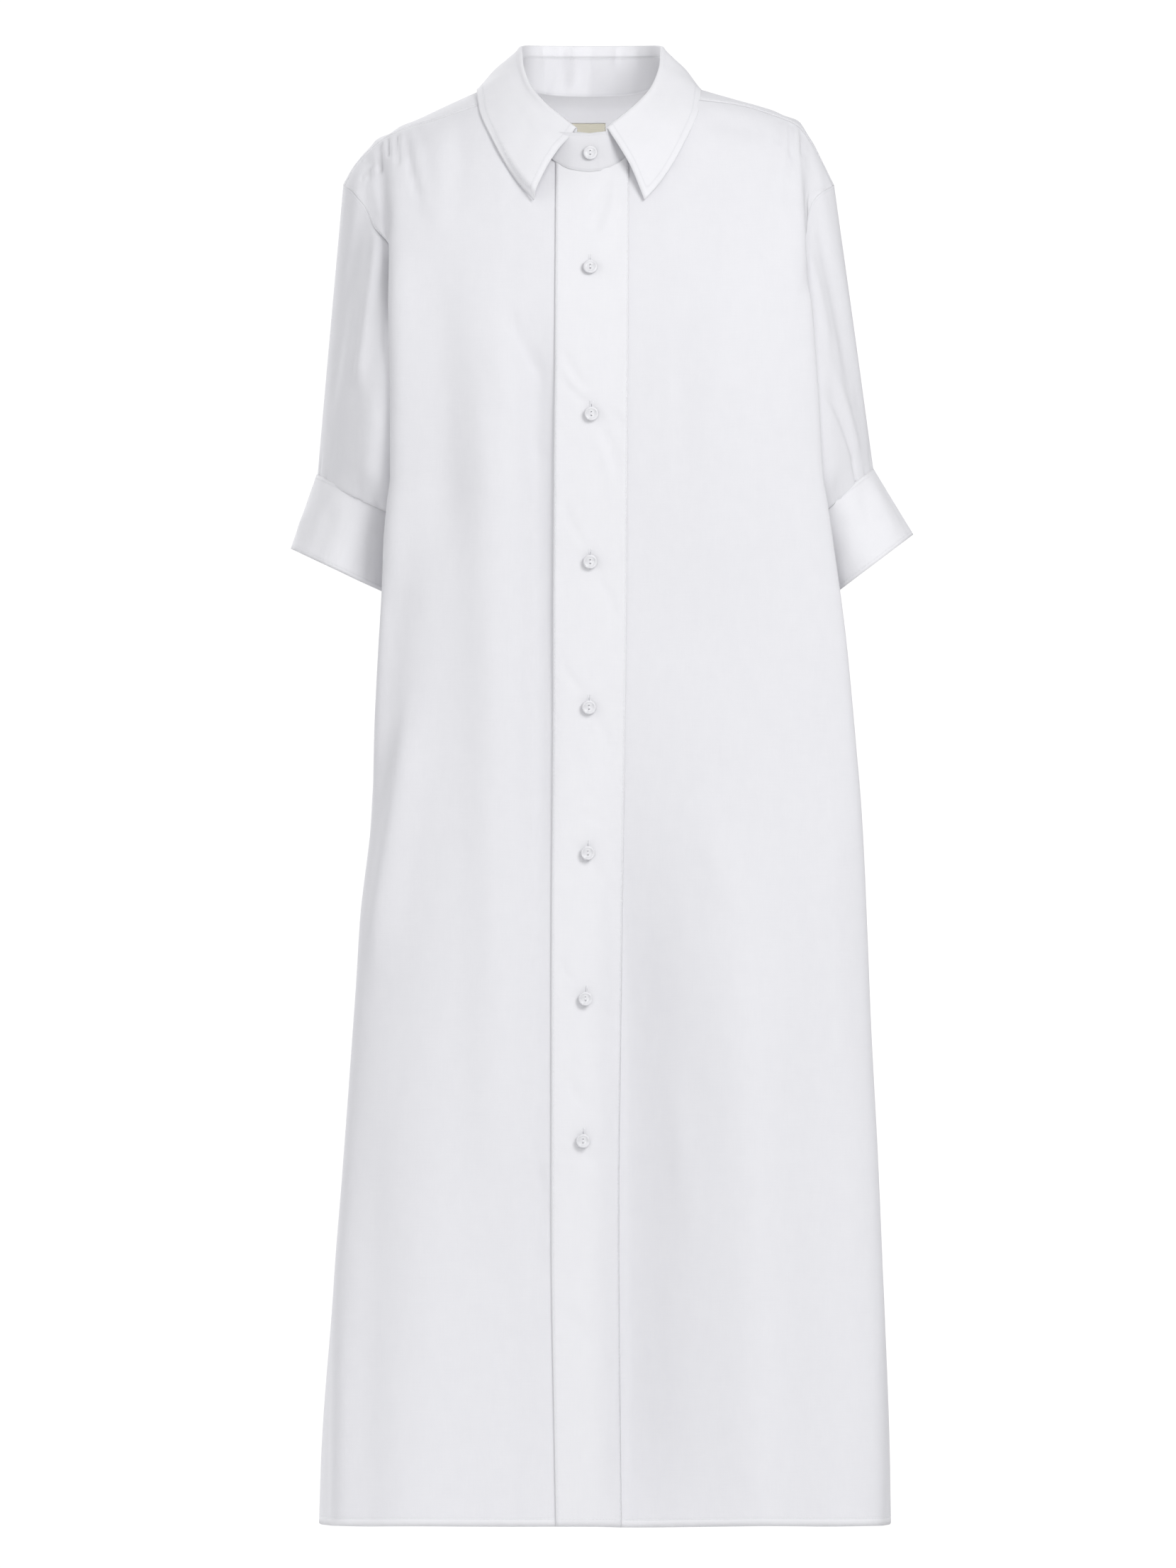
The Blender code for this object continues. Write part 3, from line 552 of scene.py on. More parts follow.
@dataclass
class ClothSheet:
    """Sheet of cloth on a grid of points, rows from top to foot and columns across."""

    name: str
    points: Array
    wall: float = 0.7
    closed: bool = False
    flipped: bool = False
    wall_offset: float = -1.0
    middle: int = 0
    far: float = 900.0

    @property
    def x(self) -> Array:
        """Sideways places of the points."""
        return self.points[..., 0]

    @property
    def z(self) -> Array:
        """Heights of the points."""
        return self.points[..., 2]

    def padded(self, grid: Array) -> Array:
        """A grid on the sheet, with its first column again at the end of a closed sheet."""
        return np.concatenate([grid, grid[:, :1]], axis=1) if self.closed else grid

    def normals(self) -> Array:
        """Outward directions at the points."""
        points, inner = self.points, slice(None)
        if self.closed:
            points, inner = np.concatenate([points[:, -1:], points, points[:, :1]], axis=1), slice(1, -1)
        normals = unit(np.cross(np.gradient(points, axis=0), np.gradient(points, axis=1)))[:, inner]
        return -normals if self.flipped else normals

    def push(self, lift: Array) -> None:
        """Move every point outwards by its own lift."""
        self.points = self.points + self.normals() * lift[..., None]

    def from_edge(self, edge: Edge) -> Array:
        """Length of cloth from an edge to each point."""
        points = self.padded(self.points)
        if edge in RIMS:
            arc = run_of(points)
            return arc if edge is Edge.TOP else arc[-1:] - arc
        arc = run_of(points.transpose(1, 0, 2)).T
        return arc if edge is Edge.START else arc[:, -1:] - arc

    def from_edges(self, edges: Sequence[Edge]) -> Array:
        """Length of cloth from the nearest of some edges to each point, or far with no edges."""
        near = [self.from_edge(edge)[:, :self.points.shape[1]] for edge in edges]
        return np.minimum.reduce([np.full(self.points.shape[:2], self.far)] + near)

    def inset(self, edge: Edge, distance: float, trim: tuple[float, float] = (0.0, 0.0)) -> Line:
        """Line on the sheet beside an edge.

        Args:
            edge: the edge.
            distance: how far in the line lies.
            trim: lengths left off at its start and its end.

        Returns:
            The line.
        """
        grids = [self.from_edge(edge), self.padded(self.points), self.padded(self.normals())]
        if edge in ENDS:
            grids = [grid.swapaxes(0, 1) for grid in grids]
        if edge in (Edge.FOOT, Edge.END):
            grids = [grid[::-1] for grid in grids]
        arc, points, normals = grids
        columns = range(arc.shape[1])
        line = np.array([on_line(points[:, i], arc[:, i], distance) for i in columns])
        facing = unit(np.array([on_line(normals[:, i], arc[:, i], distance) for i in columns]))
        run = run_of(line)
        return Line(line, facing).kept((run >= trim[0]) & (run <= run[-1] - trim[1]))

    def flat_size(self) -> tuple[float, float, float]:
        """Width, length and area of the flat cut, in metres."""
        width, length = (float(self.from_edge(edge).max()) * MM for edge in (Edge.START, Edge.TOP))
        points = self.padded(self.points)
        down, across = np.diff(points, axis=0), np.diff(points, axis=1)
        pairs = ((down[:, :-1], across[:-1]), (down[:, 1:], across[1:]))
        doubled = sum(np.linalg.norm(np.cross(*pair), axis=-1).sum() for pair in pairs)
        return width, length, float(0.5 * doubled) * MM * MM

    def build(self, material: Material, stitched: Sequence[Edge]) -> bpy.types.Object:
        """Make the sheet's mesh and give it its thickness.

        Args:
            material: its finish.
            stitched: edges that a row of stitches runs beside.

        Returns:
            The sheet, with its flat coordinates in metres and its distance to the stitched edges.
        """
        rows, columns = self.points.shape[:2]
        cells_across = columns if self.closed else columns - 1
        cell = np.stack(np.meshgrid(np.arange(rows - 1), np.arange(cells_across), indexing="ij"), axis=-1)
        corners = cell.reshape(-1, 1, 2) + np.array([(0, 0), (1, 0), (1, 1), (0, 1)])
        if self.flipped:
            corners = corners[:, ::-1]
        faces = corners[..., 0] * columns + corners[..., 1] % columns
        piece = add_mesh(self.name, self.points.reshape(-1, 3), faces.tolist(), material)
        across = self.from_edge(Edge.START)
        across = across - across[:, self.middle:self.middle + 1]
        flat = np.stack([across, -self.from_edge(Edge.FOOT)], axis=-1) * MM
        layer = piece.data.uv_layers.new(name="cut")
        layer.data.foreach_set("uv", flat[corners[..., 0], corners[..., 1]].reshape(-1))
        attribute = piece.data.attributes.new("to_edge", "FLOAT", "POINT")
        attribute.data.foreach_set("value", self.from_edges(stitched).reshape(-1))
        wall = piece.modifiers.new("wall", "SOLIDIFY")
        wall.thickness = self.wall * MM
        wall.offset = self.wall_offset
        return piece

    def hang(
        self, material: Material, stitched: Sequence[Edge], held: str, slot: str = "cloth"
    ) -> None:
        """Make the sheet, put it on the frame in place of its solid, and log the size of its cut.

        Args:
            material: its finish.
            stitched: edges that a row of stitches runs beside.
            held: how the cloth is held; not used.
            slot: the material slot that it would take its finish from; not used.
        """
        piece = self.build(material, stitched)
        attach(piece, "root")
        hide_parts(self.name.removesuffix("_cloth"))
        width, length, area = self.flat_size()
        LOG.info("%s: cut %.3f x %.3f m, %.3f m2", self.name, width, length, area)


@dataclass(frozen=True)
class StitchRow:
    """Row of lockstitches, each a small bead of thread that dips into the cloth at its ends."""

    length: float = 2.5
    gap: float = 0.7
    radius: float = 0.2
    sides: int = 6
    turned: bool = False

    def bead(self) -> tuple[Array, list[tuple[int, ...]]]:
        """Points and faces of one stitch, along x, with z away from the cloth."""
        points = [(-0.5 * self.length, 0.0, -self.radius)]
        for along, size in ((-0.32, 0.85), (0.0, 1.0), (0.32, 0.85)):
            for angle in circle(self.sides):
                rise = self.radius * (0.15 + size * math.sin(angle))
                points.append((along * self.length, size * self.radius * math.cos(angle), rise))
        points.append((0.5 * self.length, 0.0, -self.radius))
        faces = []
        last = len(points) - 1
        for i in range(self.sides):
            j = (i + 1) % self.sides
            faces.append((0, 1 + j, 1 + i))
            for low in (1, 1 + self.sides):
                high = low + self.sides
                faces.append((low + i, low + j, high + j, high + i))
            faces.append((last, last - self.sides + i, last - self.sides + j))
        return np.array(points), faces

    def sew(self, name: str, lines: Sequence[Line], thread: Material) -> None:
        """Sew stitches along lines, all in one piece.

        Args:
            name: the piece's name.
            lines: the lines.
            thread: the thread.
        """
        bead, bead_faces = self.bead()
        beads = []
        for line in lines:
            run = run_of(line.points)
            pitch = (2 * self.radius if self.turned else self.length) + self.gap
            count = max(int(run[-1] / pitch), 1)
            at = (np.arange(count) + 0.5) * run[-1] / count
            up = unit(on_line(line.facing, run, at))
            forward = unit(on_line(line.points, run, at + 1.0) - on_line(line.points, run, at - 1.0))
            forward = unit(forward - up * (forward * up).sum(-1, keepdims=True))
            aside = np.cross(up, forward)
            if self.turned:
                forward, aside = aside, -forward
            centres = on_line(line.points, run, at)[:, None]
            beads.append(centres + bead @ np.stack([forward, aside, up], axis=1))
        points = np.concatenate(beads)
        starts = range(0, len(points) * len(bead), len(bead))
        faces = [tuple(start + index for index in face) for start in starts for face in bead_faces]
        piece = add_mesh(name, points.reshape(-1, 3), faces, thread)
        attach(piece, "root")
        LOG.info("%s: %d stitches", name, len(points))


# ---------------------------------------------------------------------------- form of the body


class Level(NamedTuple):
    """Section of the body at a height."""

    z: float
    front: float
    back: float
    fold_right: float
    fold_left: float
    fold_depth: float
    square: float


class SideSeam(NamedTuple):
    """Point of the armhole seam or the side seam."""

    z: float
    x_right: float
    x_left: float
    forward: float


class Ridge(NamedTuple):
    """Shoulder ridge at a distance from the centre."""

    x: float
    z_right: float
    z_left: float
    front_roll: float
    back_roll: float
    front_depth: float
    back_depth: float


class TopEdge(NamedTuple):
    """Top edge of the fronts: half the neckline, then the shoulder seam."""

    x: float
    z_right: float
    z_left: float


class NeckPoint(NamedTuple):
    """Point of the neckline over the yoke, seen from above."""

    along: float
    x: float
    y: float


@dataclass(frozen=True)
class BodyForm:
    """Form that the body of the dress takes when it is filled out."""

    hem_z: float = -1206.0
    seam_gap: float = 0.3
    back_armhole_share: float = 1.16
    back_fold_share: float = 0.96
    underarm_z: float = -302.0
    side_share: float = 0.30
    side_bend: float = 0.26
    side_knot: float = 0.45
    side_knot_pull: float = 0.36
    shoulder_z: float = -98.0
    arm_top_z: float = -126.0
    neck_corner_x: float = 66.0
    neck_corner_along: float = 0.62
    shoulder_seam_x: float = 72.0
    panel_tuck: float = 20.0
    row_crowding: float = 1.35
    top_range: tuple[float, float] = (-110.0, 18.0)
    halvings: int = 30
    levels: tuple[Level, ...] = table(
        Level,
        (20, 92, 122, 172, 178, 0.6, 2.4), (-40, 92, 122, 174, 180, 0.62, 2.4),
        (-115, 104, 122, 170, 184, 0.66, 2.4), (-185, 118, 122, 168, 190, 0.7, 2.4),
        (-252, 124, 119, 166, 195, 0.7, 2.4), (-319, 126, 116, 166, 199, 0.7, 2.4),
        (-343, 126, 115, 169, 203, 0.7, 2.4), (-380, 126, 114, 174, 208, 0.7, 2.5),
        (-424, 127, 114, 178, 213, 0.7, 2.5), (-546, 131, 119, 186, 224, 0.66, 2.6),
        (-666, 136, 125, 192, 234, 0.63, 2.8), (-786, 141, 131, 200, 239, 0.62, 3.2),
        (-906, 147, 137, 209, 245, 0.63, 3.6), (-1026, 152, 143, 217, 249, 0.65, 4.2),
        (-1146, 157, 149, 219, 250, 0.67, 5), (-1206, 160, 152, 219, 249, 0.68, 5.5),
    )
    side_seams: tuple[SideSeam, ...] = table(
        SideSeam,
        (-58, 217, 215, 0), (-73, 207, 206, 9), (-77, 201, 199, 24), (-83, 196, 192, 31),
        (-92, 189, 187, 40), (-107, 183, 183, 50), (-122, 170, 177, 57), (-160, 153, 166, 61),
        (-210, 143, 160, 55), (-260, 136, 156, 35), (-288, 133, 152, 12), (-302, 132, 150, 0),
        (-350, 123, 138, 0), (-400, 128, 146, 0), (-440, 146, 171, 0), (-490, 165, 196, 0),
        (-546, 177, 212, 0), (-666, 187, 226, 0), (-786, 196, 234, 0), (-906, 207, 243, 0),
        (-1026, 218, 250.5, 0), (-1146, 227, 255, 0), (-1206, 229, 256, 0),
    )
    ridges: tuple[Ridge, ...] = table(
        Ridge,
        (0, 22, 22, 200, 110, 92, 122), (67, 18.5, 18, 195, 117, 88, 117),
        (94, 7, 9, 190, 120, 84, 113), (118, -4, 2, 180, 118, 79, 106),
        (146, -17, -6, 162, 111, 71, 94), (163, -24, -12, 140, 100, 63, 84),
        (177, -33, -19, 120, 90, 56, 73), (188, -42, -33, 100, 80, 46, 60),
        (200, -56, -56, 60, 55, 36, 42), (209, -72, -74, 60, 55, 30, 34),
    )
    front_top: tuple[TopEdge, ...] = table(
        TopEdge,
        (0, -60, -60), (15, -58, -58), (30, -50, -50), (45, -33, -33), (57, -14, -14), (66, 3, 3),
        (94, -5, 0), (127, -16, -4), (157, -25, -13), (176, -34, -21), (189, -45, -37), (199, -57, -56),
        (207, -73, -73),
    )
    yoke_neck: tuple[NeckPoint, ...] = table(
        NeckPoint,
        (0, 66, -34), (0.2, 67.5, -12), (0.4, 66, 10), (0.62, 56, 38), (0.8, 36, 55), (1, 0, 63),
    )

    @property
    def facing_end(self) -> float:
        """Share of a panel at which it folds round to the side."""
        return 1 - self.side_share

    def sided(self, rows: tuple[NamedTuple, ...], name: str, x: Array, at: Array) -> Array:
        """Column of a table for the side that each x is on."""
        return np.where(np.asarray(x) < 0, read(rows, name + "_right", at), read(rows, name + "_left", at))

    def ridge_z(self, x: Array) -> Array:
        """Height of the shoulder ridge."""
        return self.sided(self.ridges, "z", x, np.abs(x))

    def roll(self, x: Array, z: Array, face: Face) -> Array:
        """Share of its full depth that the cloth has, from 0 on the shoulder ridge to 1."""
        height = read(self.ridges, face.value + "_roll", np.abs(x))
        drop = np.clip((self.ridge_z(x) - z) / height, 0.0, 1.0)
        return np.sqrt(1 - (1 - drop) ** 2)

    def roll_sizes(self, x: Array, back: Array) -> tuple[Array, Array]:
        """Height and depth of the shoulder's rounding, behind the ridge where back is true."""
        sizes = []
        for name in ("_roll", "_depth"):
            front, behind = (read(self.ridges, face.value + name, np.abs(x)) for face in Face)
            sizes.append(np.where(back, behind, front))
        return sizes[0], sizes[1]

    def shoulder_point(self, x: Array, angle: Array) -> Array:
        """Points of the rounded shoulder; an angle is 0 on the ridge and negative in front."""
        height, depth = self.roll_sizes(x, np.asarray(angle) >= 0)
        return at_points(x, depth * np.sin(angle), self.ridge_z(x) - height * (1 - np.cos(angle)))

    def shoulder_angle(self, points: Array) -> Array:
        """Angles of points of the shoulder, as shoulder_point takes them."""
        x, y, z = np.moveaxis(points, -1, 0)
        height, depth = self.roll_sizes(x, y >= 0)
        return np.arctan2(y / depth, 1 - (self.ridge_z(x) - z) / height)

    def over_shoulder(self, x: Array, y: Array) -> Array:
        """Points of the rounded shoulder above places in plan."""
        depth = self.roll_sizes(x, np.asarray(y) >= 0)[1]
        return self.shoulder_point(x, np.arcsin(y / depth))

    def neck_over_yoke(self, along: Array, side: Array) -> Array:
        """Points of the neckline over the yoke, from its corner (0) to the centre back (1)."""
        x, y = (read(self.yoke_neck, name, along) for name in "xy")
        return self.over_shoulder(side * x, y)

    def through_knot(self, first: Array, knot: Array, last: Array, along: Array) -> Array:
        """Smooth run from one value through a knot to another, with no overshoot."""
        before = (knot - first) / self.side_knot
        after = (last - knot) / (1 - self.side_knot)
        middle = inner_slope(before, after)
        early = along < self.side_knot
        width = np.where(early, self.side_knot, 1 - self.side_knot)
        s = np.where(early, along, along - self.side_knot) / width
        ends = np.where(early, first, knot), np.where(early, knot, last)
        return cubic(s, width, ends, (np.where(early, before, middle), np.where(early, middle, after)))

    def section(
        self, side: Side, share: Array, z: Array, face: Face = Face.FRONT, inner_x: float = 0.0
    ) -> Array:
        """Points of the body's section.

        Args:
            side: the wearer's side.
            share: places from the inner edge (0) to the side seam (1).
            z: heights.
            face: front or back.
            inner_x: how far from the centre the inner edge lies.

        Returns:
            One point for each place.
        """
        out = face.out
        fold_x = read(self.levels, "fold_" + side.word, z)
        armhole_share = 1.0
        if face is Face.BACK:
            fold_x = fold_x * self.back_fold_share
            armhole_share = self.back_armhole_share
        depth = read(self.levels, face.value, z)
        fold_depth = read(self.levels, "fold_depth", z)
        reach = np.sin(0.5 * math.pi * np.clip(share / self.facing_end, 0.0, 1.0))
        x_facing = inner_x + (fold_x - inner_x) * reach
        flat = np.sqrt(1 - np.minimum(x_facing / fold_x, 1.0) ** read(self.levels, "square", z))
        y_facing = out * depth * (fold_depth + (1 - fold_depth) * flat) * self.roll(side * x_facing, z, face)
        seam_x = read(self.side_seams, "x_" + side.word, z)
        seam_y = out * (read(self.side_seams, "forward", z) * armhole_share + 0.5 * self.seam_gap)
        fold_y = out * depth * fold_depth * self.roll(side * fold_x, z, face)
        along = np.clip((share - self.facing_end) / self.side_share, 0.0, 1.0)
        x_side = self.through_knot(fold_x, seam_x + self.side_bend * (fold_x - seam_x), seam_x, along)
        y_side = self.through_knot(fold_y, fold_y + self.side_knot_pull * (seam_y - fold_y), seam_y, along)
        near_shoulder = np.clip((z - self.arm_top_z) / (self.shoulder_z - self.arm_top_z), 0.0, 1.0)
        shoulder_depth = read(self.ridges, face.value + "_depth", x_side)
        shoulder_y = out * shoulder_depth * self.roll(side * x_side, z, face)
        y_side = y_side + (shoulder_y - y_side) * near_shoulder
        on_side = share > self.facing_end
        return at_points(side * np.where(on_side, x_side, x_facing), np.where(on_side, y_side, y_facing), z)

    def front_point(self, x: Array, z: Array) -> Array:
        """Points on the fronts near the centre."""
        x = np.asarray(x, dtype=float)
        fold_x = self.sided(self.levels, "fold", x, z)
        share = np.arcsin(np.abs(x) / fold_x) * 2 / math.pi * self.facing_end
        right, left = (self.section(side, share, z) for side in (Side.RIGHT, Side.LEFT))
        return np.where((x < 0)[..., None], right, left)

    def front_top_z(self, x: Array) -> Array:
        """Height of the fronts' top edge, a seam's gap below the line of the seam."""
        return self.sided(self.front_top, "z", x, np.abs(x)) - self.seam_gap

    def rows_down(self, top: Array | float, count: int) -> Array:
        """Heights of rows from a top edge to the hem, closer together near the top."""
        return top + (self.hem_z - top) * ((np.arange(count + 1) / count) ** self.row_crowding)[:, None]

    def hung_grid(self, point_at: Callable, top_at: Callable, columns: int, rows: int) -> Array:
        """Grid of points from a top edge down to the hem.

        Args:
            point_at: gives each column's point at its own height.
            top_at: gives the top edge's height at each x.
            columns: number of columns.
            rows: number of cells down.

        Returns:
            The grid, whose first row is on the top edge.
        """
        low, high = (np.full(columns, z) for z in self.top_range)
        for _ in range(self.halvings):
            middle = 0.5 * (low + high)
            above = middle > top_at(point_at(middle)[..., 0])
            low, high = np.where(above, low, middle), np.where(above, middle, high)
        return point_at(self.rows_down(0.5 * (low + high), rows))


def softened(
    points: Array, column: int, reach: int = 4, passes: int = 4, full: float = 1.4
) -> Array:
    """Round the corner that a grid makes along one of its columns.

    Args:
        points: the grid.
        column: the column that the corner runs down.
        reach: how many columns to either side are moved.
        passes: how many times the points are drawn towards their neighbours.
        full: pull at the corner, which is cut off at 1 and falls to full - 1 at the reach.

    Returns:
        The grid with its corner rounded.
    """
    points = points.copy()
    share = ease(full - np.abs(np.arange(-reach, reach + 1)) / reach)[None, :, None]
    first, end = column - reach, column + reach + 1
    for _ in range(passes):
        middle = points[:, first:end]
        neighbours = 0.5 * (points[:, first - 1:end - 1] + points[:, first + 1:end + 1])
        points[:, first:end] = middle + 0.5 * share * (neighbours - middle)
    return points


# ---------------------------------------------------------------------------- panels of the body


@dataclass
class BodyPanels:
    """The two fronts, the back and the yoke."""

    form: BodyForm
    fineness: int = 6
    rows: int = 300
    back_rows: int = 260
    neck_columns: int = 4
    chest_columns: int = 5
    side_columns: int = 4
    back_columns: int = 22
    yoke_neck_columns: int = 6
    yoke_rows: int = 42
    back_yoke_z: float = -96.0
    yoke_tip_bulge: float = 8.5
    yoke_tip_reach: float = 0.15
    edge_fade: float = 0.10
    top_fade: float = 5.0
    back_top_fade: float = 12.0
    yoke_fade: float = 9.0
    hem_inset: float = 6.5
    armhole_inset: float = 3.0
    hem_trim: tuple[float, float] = (2.0, 2.0)
    armhole_trim: tuple[float, float] = (3.0, 0.0)
    back_seam_trim: tuple[float, float] = (3.0, 3.0)
    yoke_trim: tuple[float, float] = (4.0, 4.0)
    underarm_clear: float = 4.0
    front_creases: tuple[Crease, ...] = table(
        Crease,
        # long soft folds of the wearer's right front
        (-88, -150, -78, -1000, 30, 9.5, 4, 0.2, 0.22), (-46, -150, -43, -700, 14, -7.8, 1.5, 0, 0.22),
        (-46, -560, -46, -1060, 12, -3.9, 1.5), (-163, -112, -168, -430, 9, 3.4, 0, 0.2, 0.2),
        (-134, -90, -124, -420, 23, -4.6, 3, 0, 0.3), (-146, -330, -196, -700, 20, -5.4, -4, 0, 0.3),
        (-147, -495, -184, -760, 13, 6.6, -3, 0.25, 0.3), (-112, -470, -150, -1420, 34, 5.1),
        (-60, -940, -72, -1420, 18, -3.6, 0, 0, 0.3), (-185, -800, -196, -1420, 18, -3.3, 3),
        # folds that fall from the shoulder and across the chest
        (-74, -163, -33, -248, 6.5, -2.3, -4, 0.2, 0.35), (-84, -190, -44, -300, 10, 1.9, -5, 0, 0.4),
        (-60, -250, -41, -318, 6, -1.1, 2, 0, 0.4), (-158, -14, -139, -96, 3.4, -3, -3.5, 0.35, 0.3),
        (-150, -18, -131, -110, 5, 1.8, -3.5, 0, 0.35), (-129, -8, -128, -128, 9, 1.9, 2, 0, 0.35),
        (-112, -2, -110, -92, 7, -1.4, 2, 0, 0.4), (-180, -34, -174, -124, 7, -2.2, 2, 0, 0.3),
        (-49, -880, -37, -965, 4, -1.1, 3, 0, 0.35), (-43, -905, -36, -985, 3.5, 0.8, 2, 0, 0.35),
        # long soft folds of the wearer's left front
        (32, -480, 38, -1420, 36, -30, -1, 0.4, 0.34), (128, -600, 152, -1420, 34, 11.2, 4, 0, 0.3),
        (118, -60, 112, -460, 40, 5.2, 6), (79, -195, 77, -345, 8, -1.3, 2, 0, 0.35),
        (96, -585, 128, -705, 12, 2.2, -4, 0, 0.4), (188, -640, 205, -1420, 22, -3.9, 4),
        (204, -560, 216, -900, 12, 2.4, -3, 0, 0.35), (60, -780, 92, -1020, 10, 1.3, 5, 0, 0.4),
        # hollow under the shoulder seam, and folds out of the armhole
        (96, -14, 156, -34, 9, -1.7, 2, 0, 0.3), (176, -26, 160, -104, 6, -1.7, 4, 0, 0.35),
        (167, -24, 150, -92, 6, 1.2, 4, 0, 0.4), (196, -74, 186, -124, 4, 2, 2, 0, 0.3),
        (190, -96, 178, -186, 6, -2, 4, 0, 0.35), (64, -66, 96, -40, 7, -0.9, 2, 0, 0.4),
        # sides, where the cloth hangs past the underarm
        (-176, -330, -182, -620, 9, 1.8, -3, 0, 0.35), (212, -340, 226, -700, 12, 2.4, 3, 0, 0.35),
        (-208, -980, -214, -1420, 8, 1.5, 0, 0, 0.3), (240, -940, 243, -1420, 8, 1.5, 0, 0, 0.3),
    )
    tip_gathers: tuple[Crease, ...] = table(
        Crease,
        (-164, -22, -162, -58, 1.9, -2.8, 0.6, 0, 0.22),
        (-171, -26, -171, -50, 1.7, -2.4, 0.5, 0, 0.22), (-177, -30, -179, -64, 1.9, -3, 0.6, 0, 0.22),
        (-183, -35, -186, -58, 1.6, -2.2, 0.4, 0, 0.22),
        (-189, -40, -192, -72, 1.8, -2.8, 0.5, 0, 0.22), (-195, -48, -199, -68, 1.5, -2, 0.3, 0, 0.22),
        (-145, -17, -142, -40, 1.9, -1.7, 0.5), (161, -10, 160, -40, 2.2, -1.7, 0.6, 0, 0.22),
        (171, -14, 171, -52, 2.2, -2.1, 0.6, 0, 0.22), (180, -22, 182, -50, 2, -2, 0.5, 0, 0.22),
        (189, -32, 192, -62, 1.9, -2, 0.4, 0, 0.22),
    )
    back_creases: tuple[Crease, ...] = table(
        Crease,
        (-92, -130, -128, -1320, 30, 7.8), (-30, -180, -44, -1320, 26, -7.1),
        (44, -150, 58, -1320, 28, 7.1), (112, -220, 150, -1320, 30, -7.8),
        (4, -96, 8, -420, 13, 3.7, 5, 0, 0.3), (-64, -92, -58, -300, 8, -3.1, 4, 0, 0.3),
        (74, -90, 84, -270, 8, -3.2, -4, 0, 0.3), (-128, -100, -108, -330, 10, 4.1, 6, 0, 0.35),
        (136, -104, 112, -350, 10, 3.7, -6, 0, 0.35), (-150, -150, -96, -250, 7, -3.4, 6, 0, 0.4),
        (160, -160, 104, -236, 7, -3.1, -6, 0, 0.4), (-170, -420, -184, -900, 13, 4.1, 5, 0, 0.35),
        (196, -440, 214, -960, 13, 4.1, -5, 0, 0.35), (-70, -520, -84, -1320, 16, -4.4, 6, 0, 0.35),
        (92, -600, 104, -1320, 16, 3.7, -6, 0, 0.35), (14, -640, 16, -1320, 15, 4.1, 4, 0, 0.35),
        (-186, -700, -200, -1320, 14, -4.1, 3, 0, 0.35), (200, -760, 222, -1320, 14, -3.7, 3, 0, 0.35),
    )
    yoke_creases: tuple[Crease, ...] = table(
        Crease,
        (-184, -16, -160, 40, 4, 2, 3, 0, 0.35), (-170, -12, -146, 46, 4, -2, 3, 0, 0.35),
        (182, -14, 158, 44, 4.5, 1.7, -3, 0, 0.35), (168, -10, 140, 50, 4.5, -1.8, -3, 0, 0.35),
        (-120, 20, -70, 70, 10, 2, 5, 0, 0.4), (124, 16, 72, 72, 10, 1.8, -5, 0, 0.4),
        (-40, 74, -70, 112, 9, -1.8, 3, 0, 0.4), (48, 76, 84, 110, 9, -1.7, -3, 0, 0.4),
    )

    def front_shares(self, side: Side) -> Array:
        """Places of the columns of a front, one of which runs to the corner of the neckline."""
        form = self.form
        fold_x = float(read(form.levels, "fold_" + side.word, 0.0))
        reach = (form.neck_corner_x - form.panel_tuck) / (fold_x - form.panel_tuck)
        corner = math.asin(reach) * 2 / math.pi * form.facing_end
        knots = (0.0, corner, form.facing_end, 1.0)
        counts = (self.neck_columns, self.chest_columns, self.side_columns)
        runs = [[0.0]]
        for first, last, count in zip(knots, knots[1:], counts):
            runs.append(np.linspace(first, last, count * self.fineness + 1)[1:])
        return np.concatenate(runs)

    def unrolled(self, sheet: ClothSheet, share: Array, side: Side) -> Array:
        """Sideways places on a panel: x up to the fold, and lengths of cloth beyond it."""
        end = self.form.facing_end
        fold = int(np.argmin(np.abs(np.abs(share) - end)))
        across = sheet.from_edge(Edge.START)
        beyond = sheet.x[:, fold:fold + 1] + side * (across - across[:, fold:fold + 1])
        return np.where(np.abs(share) > end, beyond, sheet.x)

    def front(self, side: Side) -> ClothSheet:
        """One front, from its top edge to the hem, with its creases."""
        form = self.form
        share = self.front_shares(side)

        def point_at(z: Array) -> Array:
            """Point of each column at its own height."""
            return form.section(side, share, z, Face.FRONT, form.panel_tuck)

        grid = form.hung_grid(point_at, form.front_top_z, len(share), self.rows)
        fold = (self.neck_columns + self.chest_columns) * self.fineness
        sheet = ClothSheet(side.word + "_front_cloth", softened(grid, fold), flipped=side is Side.RIGHT)
        lift = relief(self.front_creases + self.tip_gathers, self.unrolled(sheet, share, side), sheet.z)
        fade = ease((1 - share) / self.edge_fade) * ease(sheet.from_edge(Edge.TOP) / self.top_fade)
        sheet.push(lift * fade)
        return sheet

